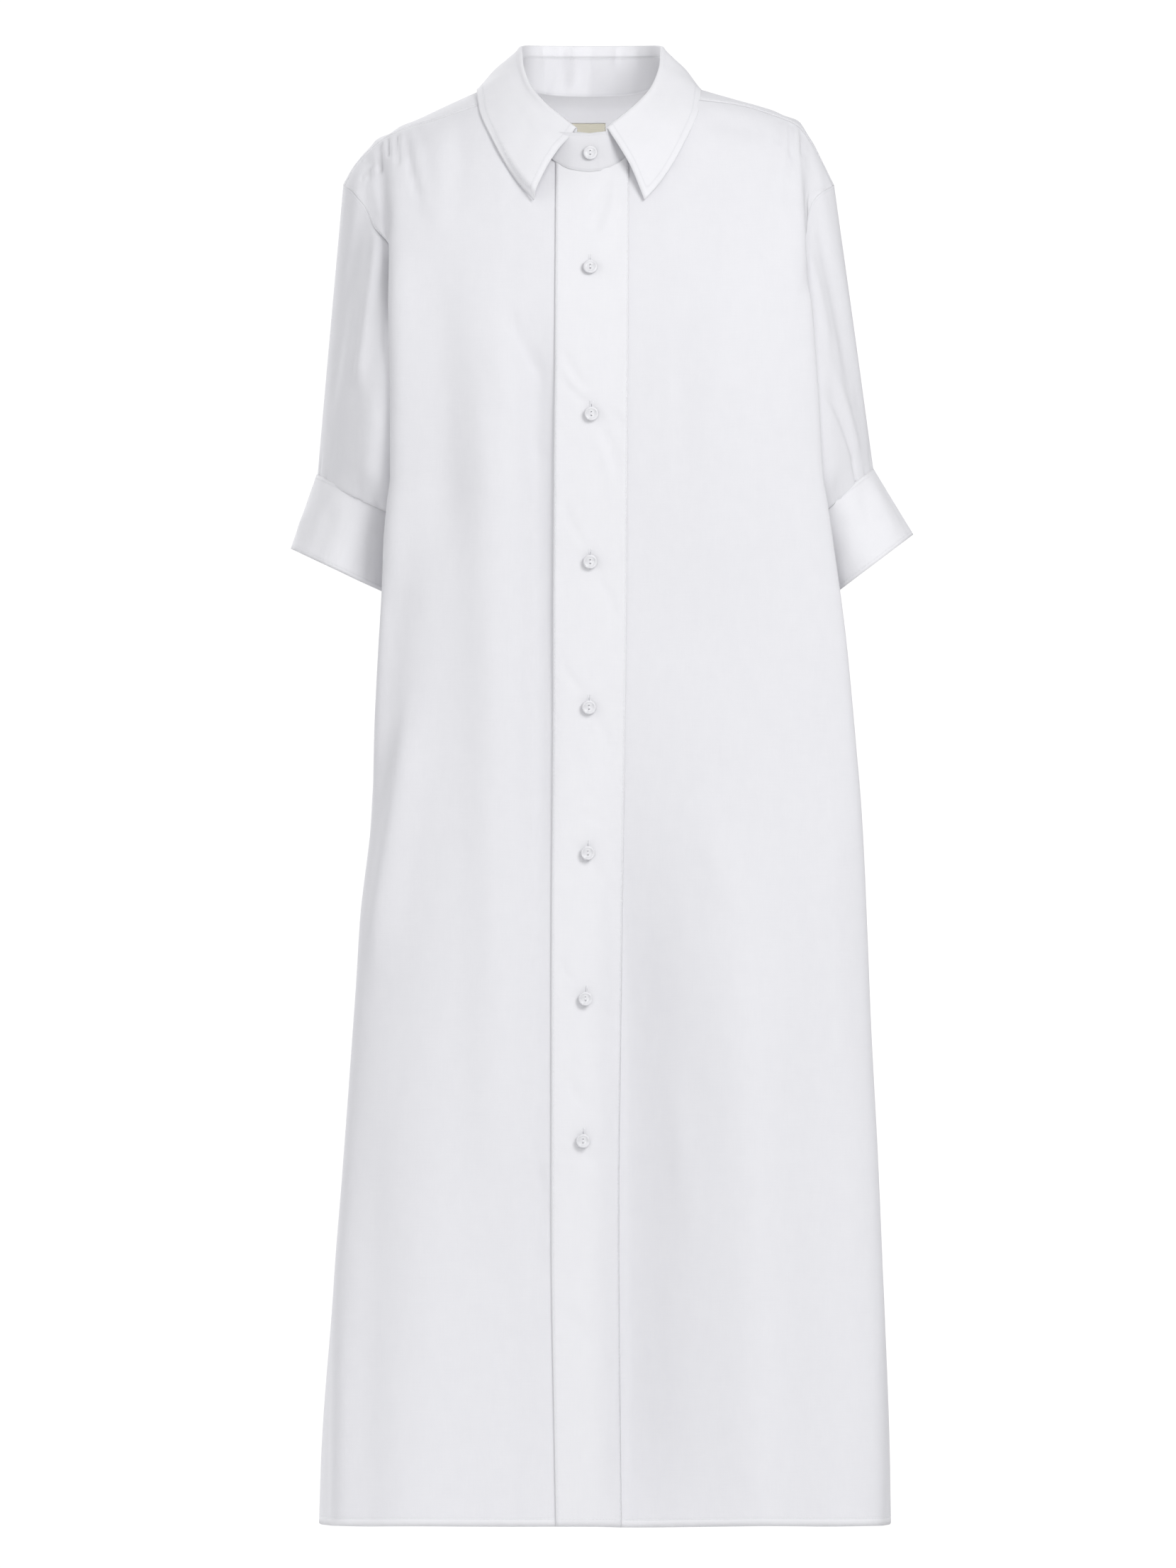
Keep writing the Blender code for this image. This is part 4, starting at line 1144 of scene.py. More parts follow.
    def back(self) -> ClothSheet:
        """The back, from the yoke seam to the hem, wearer's right to left, with its creases."""
        form = self.form
        half = self.back_columns * self.fineness // 2
        share = np.linspace(-1.0, 1.0, 2 * half + 1)
        z = form.rows_down(self.back_yoke_z - form.seam_gap, self.back_rows)
        right = form.section(Side.RIGHT, -share[:half], z, Face.BACK)
        left = form.section(Side.LEFT, share[half:], z, Face.BACK)
        points = np.concatenate([right, left], axis=1)
        sheet = ClothSheet("back_panel_cloth", points, flipped=True, middle=half)
        across = np.concatenate([
            self.unrolled(ClothSheet("", sheet.points[:, half::-1]), -share[half::-1], Side.RIGHT)[:, :0:-1],
            self.unrolled(ClothSheet("", sheet.points[:, half:]), share[half:], Side.LEFT),
        ], axis=1)
        fade = ease((1 - np.abs(share)) / self.edge_fade)
        fade = fade * ease(sheet.from_edge(Edge.TOP) / self.back_top_fade)
        sheet.push(relief(self.back_creases, across, sheet.z) * fade)
        return sheet

    def yoke_half(self, side: Side, front: ClothSheet, back_seam: Array) -> Array:
        """Columns of half the yoke, from its front edge over the shoulder to its back edge."""
        form = self.form
        gap = np.array([0.0, 3 * form.seam_gap, form.seam_gap])
        seam = front.points[0, self.neck_columns * self.fineness:][::-1] + gap
        count = self.yoke_neck_columns * self.fineness
        starts = np.concatenate([seam, form.neck_over_yoke(np.arange(1, count + 1) / count, side)])
        inward = np.linspace(0.0, 1.0, len(starts))
        ends = along_line(back_seam, inward) + np.array([0.0, 0.0, 1.5 * form.seam_gap])
        first, last = form.shoulder_angle(starts), form.shoulder_angle(ends)
        start_error = starts - form.shoulder_point(starts[:, 0], first)
        end_error = ends - form.shoulder_point(ends[:, 0], last)
        bulge = side * self.yoke_tip_bulge * np.maximum(0.0, 1 - inward / self.yoke_tip_reach)
        rows = []
        for s in np.linspace(0.0, 1.0, self.yoke_rows + 1):
            x = starts[:, 0] + (ends[:, 0] - starts[:, 0]) * s + bulge * 4 * s * (1 - s)
            on_form = form.shoulder_point(x, first + (last - first) * s)
            rows.append(on_form + start_error + (end_error - start_error) * s)
        return np.array(rows)

    def yoke(self, fronts: dict[Side, ClothSheet], back: ClothSheet) -> ClothSheet:
        """The yoke, from the shoulder seams to the back seam."""
        middle = back.middle
        right = self.yoke_half(Side.RIGHT, fronts[Side.RIGHT], back.points[0, :middle + 1])
        left = self.yoke_half(Side.LEFT, fronts[Side.LEFT], back.points[0, middle:][::-1])
        points = np.concatenate([right, left[:, -2::-1]], axis=1)
        sheet = ClothSheet("back_yoke_cloth", points, wall=0.9, flipped=True, middle=right.shape[1] - 1)
        lift = relief(self.yoke_creases, points[..., 0], points[..., 1])
        sheet.push(lift * ease(sheet.from_edges(Edge) / self.yoke_fade))
        return sheet

    def build(self, thread: Material) -> tuple[dict[Side, ClothSheet], ClothSheet, ClothSheet]:
        """Make the panels and sew their rows of stitches.

        Args:
            thread: the sewing thread.

        Returns:
            The fronts, the back and the yoke.
        """
        poplin = Poplin("poplin", stitch_inset=self.hem_inset).build()
        fronts = {side: self.front(side) for side in Side}
        back = self.back()
        yoke = self.yoke(fronts, back)
        row, inset = StitchRow(), self.armhole_inset
        for side, sheet in fronts.items():
            sheet.hang(poplin, [Edge.FOOT], "hung")
            hem = sheet.inset(Edge.FOOT, self.hem_inset, self.hem_trim)
            armhole = self.down_to_underarm(sheet.inset(Edge.END, inset, self.armhole_trim))
            row.sew(side.word + "_front_stitches", [hem, armhole], thread)
        back.hang(poplin, [Edge.FOOT], "hung")
        lines = [self.down_to_underarm(back.inset(edge, inset)) for edge in ENDS]
        row.sew("back_stitches", [back.inset(Edge.FOOT, self.hem_inset)] + lines, thread)
        doubled = Poplin("yoke_poplin", Layers.DOUBLED, inset, 0.1, 0.3, 0.1, see_through=0.25)
        yoke.hang(doubled.build(), tuple(Edge), "draped")
        seams = [yoke.inset(Edge.FOOT, inset, self.back_seam_trim)]
        seams += [yoke.inset(edge, inset, self.yoke_trim) for edge in ENDS]
        front_edge = yoke.inset(Edge.TOP, inset, self.yoke_trim)
        for side in Side:
            seams.append(front_edge.kept(side * front_edge.points[:, 0] > self.form.shoulder_seam_x))
        row.sew("yoke_stitches", seams, thread)
        return fronts, back, yoke

    def down_to_underarm(self, line: Line) -> Line:
        """Part of a line that lies above the underarm."""
        return line.kept(line.points[:, 2] > self.form.underarm_z + self.underarm_clear)


# ---------------------------------------------------------------------------- front bands


class PlacketRow(NamedTuple):
    """Edges of the placket at a height."""

    z: float
    free_edge: float
    seam: float


class ButtonRow(NamedTuple):
    """Centre of a button."""

    x: float
    z: float


@dataclass
class FrontBands:
    """The buttonhole band and the button band behind it."""

    form: BodyForm
    body_creases: tuple[Crease, ...]
    lift: float = 1.25
    wall: float = 0.9
    columns: int = 26
    button_columns: int = 12
    rows: int = 300
    top_fade: float = 5.0
    stitch_inset: float = 1.8
    hem_inset: float = 6.5
    button_pull: float = 0.8
    button_pull_reach: float = 7.5
    deepest: float = -0.75
    edge_fade: float = 6.0
    edge_curl: float = 0.1
    curl_reach: float = 5.0
    seam_dip: float = 0.7
    dip_reach: float = 2.5
    edge_trim: tuple[float, float] = (6.0, 2.0)
    hem_trim: tuple[float, float] = (3.0, 3.0)
    button_band_inset: float = 3.0
    free_edge_rise: Crease = Crease(-28, -190, -31, -540, 6, 1.3, 0.0, 0.0, 0.35)
    placket: tuple[PlacketRow, ...] = table(
        PlacketRow,
        (-40, -28, 34), (-400, -30, 32), (-760, -32, 28), (-940, -32, 26), (-1206, -28, 28),
    )
    buttons: tuple[ButtonRow, ...] = table(
        ButtonRow,
        (1, -143), (2, -267), (1, -392), (0, -515), (-1, -638), (-3, -761), (-5, -881),
    )
    creases: tuple[Crease, ...] = table(
        Crease,
        (20, -62, -4, -98, 4, -1.3, 1.5, 0, 0.35), (12, -64, 2, -118, 5, -1.1, 2, 0.3, 0.35),
        (22, -74, 8, -124, 5, 0.8, 2, 0, 0.4), (-24, -206, 0, -250, 3.6, -1.2, -3, 0, 0.35),
        (-25, -232, 6, -262, 3.6, -1.2, -4, 0, 0.35), (-24, -220, 2, -256, 3.6, 0.8, -3, 0, 0.4),
        (6, -274, 27, -322, 4, -1.1, 3, 0, 0.35), (3, -280, 20, -338, 4, 0.7, 3, 0, 0.4),
        (14, -262, 32, -284, 3.6, -0.8, 2, 0, 0.35), (-22, -336, 0, -382, 3.8, -0.9, -4, 0, 0.35),
        (5, -402, 24, -442, 4, -0.9, 3, 0, 0.35), (-24, -470, -2, -506, 3.6, -0.9, -3, 0, 0.35),
        (4, -524, 18, -556, 3.8, -0.9, 3, 0, 0.35), (-16, -606, 18, -616, 3.6, -0.8, 3, 0, 0.35),
        (3, -646, 22, -688, 4, -0.8, 3, 0, 0.35), (-26, -724, -6, -752, 3.6, -0.8, -3, 0, 0.35),
        (2, -768, 26, -784, 3.6, -0.8, 2, 0, 0.35), (-24, -812, 4, -858, 5, -0.8, -5, 0, 0.4),
        (-34, -890, 22, -893, 1.8, -0.9, -1, 0, 0.2), (-6, -896, 14, -930, 5, 0.9, 3, 0, 0.4),
        (-22, -1010, 16, -1064, 8, -0.8, -5, 0, 0.4), (20, -1080, 8, -1180, 10, 1, 3, 0, 0.4),
    )

    def band(self, name: str, edges: tuple[Callable, Callable], lift: float, columns: int) -> ClothSheet:
        """A straight band down the front.

        Args:
            name: the sheet's name.
            edges: functions that give the x of its two edges at heights.
            lift: how far it lies off the fronts.
            columns: number of cells across.

        Returns:
            The band, on the fronts' own folds.
        """
        form = self.form
        across = np.linspace(0.0, 1.0, columns + 1)

        def point_at(z: Array) -> Array:
            """Point of each column at its own height."""
            first, last = (edge(z) for edge in edges)
            return form.front_point(first + (last - first) * across, z)

        grid = form.hung_grid(point_at, lambda x: form.front_top_z(np.abs(x)), columns + 1, self.rows)
        sheet = ClothSheet(name, grid, wall=self.wall)
        fade = ease(sheet.from_edge(Edge.TOP) / self.top_fade)
        sheet.push(relief(self.body_creases, sheet.x, sheet.z) * fade)
        sheet.points[..., 1] -= lift
        return sheet

    def build_placket(self, thread: Material) -> ClothSheet:
        """The buttonhole band, with its puckers, its curled free edge and its stitches."""
        edges = curve(self.placket, "free_edge"), curve(self.placket, "seam")
        sheet = self.band("front_placket_cloth", edges, self.lift, self.columns)
        lift = relief(self.creases, sheet.x, sheet.z)
        for button in self.buttons:
            away = (sheet.x - button.x) ** 2 + (sheet.z - button.z) ** 2
            lift = lift - self.button_pull * np.exp(-away / self.button_pull_reach ** 2)
        start, end = (sheet.from_edge(edge) for edge in ENDS)
        lift = np.maximum(lift, self.deepest) * ease(np.minimum(start, end) / self.edge_fade)
        lift = lift + self.edge_curl * np.exp(-(start / self.curl_reach) ** 2)
        lift = lift - self.seam_dip * np.exp(-(end / self.dip_reach) ** 2)
        sheet.push(lift + self.free_edge_rise.lift(sheet.x, sheet.z))
        inset = self.stitch_inset
        poplin = Poplin("placket_poplin", Layers.DOUBLED, inset, 0.05, 0.25, pucker=0.22)
        sheet.hang(poplin.build(), ENDS, "hung")
        rows = [sheet.inset(edge, inset, self.edge_trim) for edge in ENDS]
        rows.append(sheet.inset(Edge.FOOT, self.hem_inset, self.hem_trim))
        StitchRow().sew("placket_stitches", rows, thread)
        return sheet

    def build_button_band(self) -> None:
        """The button band, behind the placket."""
        half = self.form.panel_tuck - 1.5 * self.form.seam_gap
        edges = (lambda z: np.full_like(z, -half), lambda z: np.full_like(z, half))
        sheet = self.band("button_band_cloth", edges, 0.0, self.button_columns)
        poplin = Poplin("button_band_poplin", Layers.DOUBLED, self.button_band_inset)
        sheet.hang(poplin.build(), (*ENDS, Edge.FOOT), "hung")


# ---------------------------------------------------------------------------- buttons


@dataclass
class ButtonSet:
    """Round buttons with two holes, sewn on, and the buttonholes they pass through."""

    count: int = 8
    radius: float = 6.0
    thick: float = 2.6
    well: float = 0.8
    hole_radius: float = 0.75
    hole_apart: float = 2.6
    steps: int = 48
    drill_sides: int = 16
    sharp_degrees: float = 38.0
    strand_apart: float = 0.42
    strand_past: float = 0.45
    strand_above: float = 0.15
    hole_length: float = 15.0
    hole_above: float = 11.0
    hole_points: int = 12
    hole_half_width: float = 0.95

    def profile(self) -> list[tuple[float, float]]:
        """Half section, from the middle of the dished face over the rounded rim to the back."""
        low, thick = self.thick - self.well, self.thick
        points = [(0.0, low), (0.34, low), (0.58, low + 0.08), (0.66, low + 0.35), (0.72, thick - 0.12)]
        points += [(0.80, thick), (0.90, thick - 0.12)]
        for i in range(6):
            rim = 0.965 + 0.035 * math.sin(math.pi * i / 5)
            points.append((rim, thick * (0.82 - 0.62 * i / 5)))
        points += [(0.88, 0.08), (0.80, 0.0), (0.0, 0.0)]
        return [(share * self.radius, height) for share, height in points]

    def mesh(self) -> bpy.types.Mesh:
        """Mesh of one button, its face along z, with its two holes cut through."""
        points = [(radius * MM, 0.0, height * MM) for radius, height in self.profile()]
        outline = bpy.data.meshes.new("button_outline")
        outline.from_pydata(points, [(i, i + 1) for i in range(len(points) - 1)], [])
        blank = add_object("button_blank", outline)
        screw = blank.modifiers.new("turn", "SCREW")
        screw.steps = screw.render_steps = self.steps
        screw.use_merge_vertices = True
        screw.merge_threshold = 0.02 * MM
        tools = [blank]
        for sign in (-1, 1):
            drill = self.drill()
            drill.location = (0.0, sign * 0.5 * self.hole_apart * MM, 0.0)
            cut = blank.modifiers.new("hole", "BOOLEAN")
            cut.object = drill
            cut.solver = "EXACT"
            tools.append(drill)
        bpy.context.view_layer.update()
        evaluated = blank.evaluated_get(bpy.context.evaluated_depsgraph_get())
        mesh = bpy.data.meshes.new_from_object(evaluated)
        for tool in tools:
            bpy.data.objects.remove(tool)
        mesh.shade_smooth()
        mesh.set_sharp_from_angle(angle=math.radians(self.sharp_degrees))
        return mesh

    def drill(self) -> bpy.types.Object:
        """Closed tube that cuts one hole."""
        count, angles = self.drill_sides, circle(self.drill_sides)
        x, y = self.hole_radius * np.cos(angles), self.hole_radius * np.sin(angles)
        points = np.concatenate([at_points(x, y, height) for height in (-1.0, self.thick + 1.0)])
        faces = [(i, (i + 1) % count, count + (i + 1) % count, count + i) for i in range(count)]
        return add_mesh("drill", points, faces + [tuple(range(count))[::-1], tuple(range(count, 2 * count))])

    def build(self, up_at: Callable[[Vector], Vector], thread: Material) -> None:
        """Put each button where its node is, face outwards, and sew it on.

        Args:
            up_at: gives the direction up the cloth at a place.
            thread: the sewing thread.
        """
        mesh = self.mesh()
        mesh.materials.clear()
        mesh.materials.append(ShellButton("grey_shell").build())
        strands = []
        for number in range(1, self.count + 1):
            node = "button_%d" % number
            low, high = (Vector(corner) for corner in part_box(node))
            middle = (low + high) * 0.5 / MM
            up = up_at(middle).normalized()
            outward = up.cross(Vector((-1, 0, 0))).normalized()
            seat = middle - outward * 0.5 * self.thick
            piece = add_object(node + "_shell", mesh)
            piece.rotation_mode = "QUATERNION"
            piece.rotation_quaternion = outward.to_track_quat("Z", "Y")
            piece.location = seat * MM
            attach(piece, "root")
            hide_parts(node)
            face = seat + outward * (self.thick - self.well + self.strand_above)
            reach = np.array(up) * (0.5 * self.hole_apart + self.strand_past)
            for sideways in (-self.strand_apart, 0.0, self.strand_apart):
                centre = np.array(face) + np.array([sideways, 0.0, 0.0])
                ends = np.stack([centre + reach, centre - reach])
                strands.append(Line(ends, np.tile(np.array(outward), (2, 1))))
        StitchRow(length=3.3, gap=0.0, radius=0.24).sew("button_threads", strands, thread)
        LOG.info("buttons: %d", self.count)

    def build_holes(self, sheet: ClothSheet, buttons: Sequence[ButtonRow], thread: Material) -> None:
        """Work the vertical buttonholes on the placket, with a dark strip of painted shadow down each slit.

        Args:
            sheet: the placket.
            buttons: centres of its buttons.
            thread: the buttonhole thread.
        """
        normals = sheet.normals()
        sides, slits = [], []
        for button in buttons:
            top = button.z + self.hole_above
            line, facing = [], []
            for z in np.linspace(top, top - self.hole_length, self.hole_points):
                off = (sheet.x - button.x) ** 2 + (sheet.z - z) ** 2
                near = np.unravel_index(np.argmin(off), off.shape)
                point, normal = sheet.points[near], normals[near]
                step = np.array([button.x, 0.0, z]) - point
                step[1] = -(step[0] * normal[0] + step[2] * normal[2]) / normal[1]
                line.append(point + step)
                facing.append(normal)
            slit = Line(np.array(line), unit(np.array(facing)))
            slits.append(slit)
            for aside in (-self.hole_half_width, self.hole_half_width):
                sides.append(Line(slit.points + np.array([aside, 0.0, 0.0]), slit.facing))
        StitchRow(length=1.7, gap=-0.05, radius=0.2, turned=True).sew("buttonhole_stitches", sides, thread)
        # painted shadow: a dark strip of beads down each slit stands in for the shade inside the cut
        dark = Thread("buttonhole_shade", (0.30, 0.30, 0.34)).build()
        StitchRow(length=self.hole_length - 1.2, gap=0.0, radius=0.22).sew("buttonhole_slits", slits, dark)


# ---------------------------------------------------------------------------- collar


class CollarRow(NamedTuple):
    """Fold line and outer edge of the collar at a place from the centre back to the front."""

    along: float
    fold_x: float
    fold_y: float
    fold_z: float
    edge_x: float
    edge_y: float
    edge_z: float


@dataclass
class Collar:
    """Stand and fall of the collar."""

    form: BodyForm
    columns: int = 168
    stand_rows: int = 16
    shift_x: float = 2.0
    below_fold: float = 9.0
    below_end: float = 2.5
    dip_along: float = 0.6
    lap: float = 34.0
    lap_columns: int = 22
    lap_step_size: float = 1.5
    lap_along: float = 0.8
    front_height: float = 31.0
    end_rounding: float = 0.8
    lean: float = 0.16
    clear: float = 1.1
    tuck: float = 2.2
    overlap: float = 4.0
    foot_end: float = 0.93
    fold_apex: float = 1.8
    fold_turn: float = 4.2
    fold_drop: float = 3.0
    belly: float = 3.0
    wall: float = 0.8
    stitch_inset: float = 6.0
    stand_inset: float = 2.0
    stand_trim: tuple[float, float] = (4.0, 4.0)
    behind_y: float = 20.0
    front_y: float = 10.0
    face_fade: float = 20.0
    stages: tuple[float, ...] = (0.0, 0.14, 0.20, 0.27, 0.45, 0.64, 1.0)
    roll_end: float = 0.3
    roll_rows: int = 15
    flat_rows: int = 29
    edge_fade: float = 8.0
    hidden_stitches: int = 18
    tip_stitches: int = 3
    rows: tuple[CollarRow, ...] = table(
        CollarRow,
        (0, 0, 60, 47, 0, 84, -2), (0.2, 30, 54, 47, 42, 77, 0), (0.4, 52, 35, 47, 75, 51, 8),
        (0.55, 59, 9, 45, 93, 16, 10), (0.65, 58, -13, 31, 95, -8.5, 8.5),
        (0.75, 52, -33, 13, 93, -36.5, -8.5), (0.85, 40, -50, -2, 80, -62.8, -38),
        (0.93, 26, -61, -14, 63, -78.6, -67), (1, 12, -69, -25, 47, -89.4, -86),
    )
    stand_creases: tuple[Crease, ...] = table(
        Crease,
        (-40, 60, -37, -8, 2.6, 1.8, 1, 0, 0.2), (-31, 60, -29, 0, 2.8, -1.6, 1),
        (-22, 60, -20, 4, 2.4, 1.7, -1), (-13, 60, -13, 6, 2.6, -2.2, 0.5),
        (22, 60, 23, 26, 2.6, -1.2, 0.5, 0, 0.3), (40, 56, 36, -4, 5, 1, 2, 0, 0.35),
    )
    fall_creases: tuple[Crease, ...] = table(
        Crease,
        (-4, 6, -56, -100, 42, 6.5, 0, 0, 0.2), (-70, 2, -44, -34, 6, -1.2, 3, 0, 0.4),
        (-80, -14, -60, -46, 6, 0.6, 2, 0, 0.4), (58, 22, 74, -20, 8, -0.6, 3, 0, 0.4),
        (46, -24, 62, -52, 7, 0.6, -2, 0, 0.4),
    )

    def around(self) -> tuple[Array, Array]:
        """Places of the columns, from the centre back (0) to either front end (1), and their sides."""
        half = self.columns // 2
        return np.abs(np.arange(-half, half + 1)) / half, np.repeat([-1.0, 1.0], (half, half + 1))

    def lap_step(self, along: Array, side: Array) -> Array:
        """Step of the front ends, the wearer's left one outwards and the right one inwards."""
        near_front = np.maximum(0.0, (along - self.lap_along) / (1 - self.lap_along))
        return at_points(0.0, -side * self.lap_step_size * near_front, 0.0)

    def line_of(self, kind: str, along: Array, side: Array) -> Array:
        """Points of the fold line or the outer edge, from the centre back (0) to the front (1)."""
        x, y, z = (read(self.rows, kind + axis, along) for axis in ("_x", "_y", "_z"))
        return at_points(side * x, y, z)

    def fold_line(self, along: Array, side: Array) -> Array:
        """Points of the fold line, with its lap."""
        shift = np.array([self.shift_x, 0.0, 0.0])
        return self.line_of("fold", along, side) + shift + self.lap_step(along, side)

    def stand_top(self, along: Array, side: Array) -> Array:
        """Top edge of the stand, below the fold line, which it meets at the front."""
        near_front = np.maximum(0.0, (along - self.dip_along) / (1 - self.dip_along))
        below = self.below_fold * (1 - near_front) + self.below_end * near_front
        return self.fold_line(along, side) - at_points(0.0, 0.0, below)

    def neckline(self, along: Array, side: Array) -> Array:
        """Points of the neckline from the centre back (0) over the yoke to the centre front (1)."""
        form = self.form
        corner = form.neck_corner_along
        over = form.neck_over_yoke(np.clip(1 - along / corner, 0.0, 1.0), side)
        past_corner = np.clip((along - corner) / (1 - corner), 0.0, 1.0)
        x = form.neck_corner_x * np.cos(0.5 * math.pi * past_corner)
        front = form.front_point(side * x, form.sided(form.front_top, "z", side, x))
        return np.where((along < corner)[..., None], over, front)

    def stand_front(self, x: Array, rise: Array) -> Array:
        """Points of the stand at the centre front, heights above its seam, leaning back."""
        foot = self.form.front_point(x, read(self.form.front_top, "z_left", np.abs(x)))
        return foot + at_points(0.0, self.lean * rise, rise)

    def stand(self) -> ClothSheet:
        """The stand, whose ends lap at the front."""
        along, side = self.around()
        foot = self.neckline(along * self.foot_end, side)
        inward = unit(foot * np.array([-1.0, -1.0, 0.0]))
        foot = foot + inward * self.clear - np.array([0.0, 0.0, self.tuck]) + self.lap_step(along, side)
        feet, tops = [foot], [self.stand_top(along, side)]
        lap = np.linspace(1.0, 0.05, self.lap_columns)
        rise = self.front_height * np.sqrt(1 - self.end_rounding * lap ** 4)
        end_x = self.rows[-1].fold_x
        for sign in (-1, 1):
            x = sign * (end_x - lap * (end_x + self.lap))
            step = self.lap_step(np.ones_like(lap), np.full_like(lap, sign))
            for edge, heights in ((feet, np.full_like(x, -self.tuck)), (tops, rise)):
                end = self.stand_front(x, heights) + step
                edge.insert(0 if sign < 0 else len(edge), end[::-sign])
        foot, top = np.concatenate(feet), np.concatenate(tops)
        shares = np.linspace(0.0, 1.0, self.stand_rows + 1)[:, None, None]
        points = foot + (top - foot) * shares
        sheet = ClothSheet("collar_stand_cloth", points, wall=self.wall, wall_offset=0.0)
        sheet.push(self.back_lift(sheet))
        return sheet

    def back_lift(self, sheet: ClothSheet) -> Array:
        """Lift of the stand's creases, at the back of the neck only."""
        behind = ease((sheet.points[..., 1] - self.behind_y) / self.face_fade)
        return relief(self.stand_creases, sheet.x, sheet.z) * behind

    def fall(self) -> ClothSheet:
        """The fall: up from the stand, over the fold line and down to its edge."""
        along, side = self.around()
        fold, edge = self.fold_line(along, side), self.line_of("edge", along, side)
        away = unit((edge - fold) * np.array([1.0, 1.0, 0.0]))
        low = self.stand_top(along, side) + away * self.wall - np.array([0.0, 0.0, self.overlap])
        apex = fold + away * self.fold_apex
        turned = fold + away * self.fold_turn - np.array([0.0, 0.0, self.fold_drop])
        middle = 0.5 * (turned + edge) + away * self.belly
        stages = np.array([low, fold, apex, turned, 0.5 * (turned + middle), middle, edge])
        over_fold = np.linspace(0.0, self.roll_end, self.roll_rows + 1)[:-1]
        spread = np.concatenate([over_fold, np.linspace(self.roll_end, 1.0, self.flat_rows + 1)])
        points = Curve(self.stages, stages)(spread)
        sheet = ClothSheet("collar_fall_cloth", points, wall=self.wall, wall_offset=0.0, flipped=True)
        sheet.middle = self.columns // 2
        inner = self.back_lift(sheet) * ease((0.16 - spread) / 0.12)[:, None]
        in_front = ease((self.front_y - sheet.points[..., 1]) / self.face_fade)
        outer = relief(self.fall_creases, sheet.x, sheet.z) * in_front
        outer = outer * ease((spread - self.roll_end) / 0.2)[:, None]
        sheet.push(-inner + outer * ease(sheet.from_edge(Edge.FOOT) / self.edge_fade))
        return sheet

    def build(self, thread: Material) -> None:
        """Make the stand and the fall, with their stitches.

        Args:
            thread: the sewing thread.
        """
        inset, half_wall = self.stitch_inset, 0.5 * self.wall
        stand, fall = self.stand(), self.fall()
        poplin = Poplin(
            "stand_poplin", Layers.DOUBLED, self.stand_inset, 0.02, 0.0, 0.05, crumple=0.5, see_through=0.3
        )
        stand.hang(poplin.build(), RIMS, "folded")
        poplin = Poplin("collar_poplin", Layers.DOUBLED, inset, 0.02, 0.0, 0.05, 0.10, crumple=0.7)
        fall.hang(poplin.build(), (*ENDS, Edge.FOOT), "folded")
        rows = [fall.inset(Edge.FOOT, inset, (inset, inset))]
        for edge in ENDS:
            line = fall.inset(edge, inset)
            shown = line.points[:, 2] < self.rows[-1].fold_z + 2.0
            shown[:self.hidden_stitches] = False
            rows.append(line.kept(shown).kept(slice(None, -self.tip_stitches)))
        StitchRow().sew("collar_stitches", [line.raised(half_wall) for line in rows], thread)
        line = stand.inset(Edge.FOOT, self.stand_inset, self.stand_trim)
        StitchRow().sew("stand_stitches", [line.behind(half_wall), line.raised(half_wall)], thread)


@dataclass
class NeckLabel:
    """Plain woven label, flat against the inside of the yoke."""

    form: BodyForm
    left: float = -20.0
    right: float = 14.0
    top_z: float = -17.0
    foot_z: float = -42.0
    yoke_wall: float = 1.2
    wall: float = 0.5
    clear: float = 0.4
    cells: int = 24
    stitch_inset: float = 1.2
    stitch_trim: tuple[float, float] = (1.0, 1.0)

    def build(self, thread: Material) -> None:
        """Make the label and the stitches at its ends.

        Args:
            thread: the sewing thread.
        """
        x = np.linspace(self.left, self.right, self.cells + 1)[None, :]
        z = np.linspace(self.top_z, self.foot_z, self.cells + 1)[:, None]
        height = read(self.form.ridges, "back_roll", np.abs(x))
        angle = np.arccos(1 - (self.form.ridge_z(x) - z) / height)
        inward = at_points(0.0, -np.sin(angle), -np.cos(angle))
        on_form = self.form.shoulder_point(np.broadcast_to(x, angle.shape), angle)
        points = on_form + inward * (self.yoke_wall + self.clear)
        sheet = ClothSheet("neck_label_cloth", points, wall=self.wall, wall_offset=0.0, flipped=True)
        sheet.hang(LabelTape("beige_tape").build(), (), "laid", "label")
        ends = [sheet.inset(edge, self.stitch_inset, self.stitch_trim) for edge in ENDS]
        StitchRow().sew("label_stitches", [line.behind(0.5 * self.wall) for line in ends], thread)


# ---------------------------------------------------------------------------- sleeves


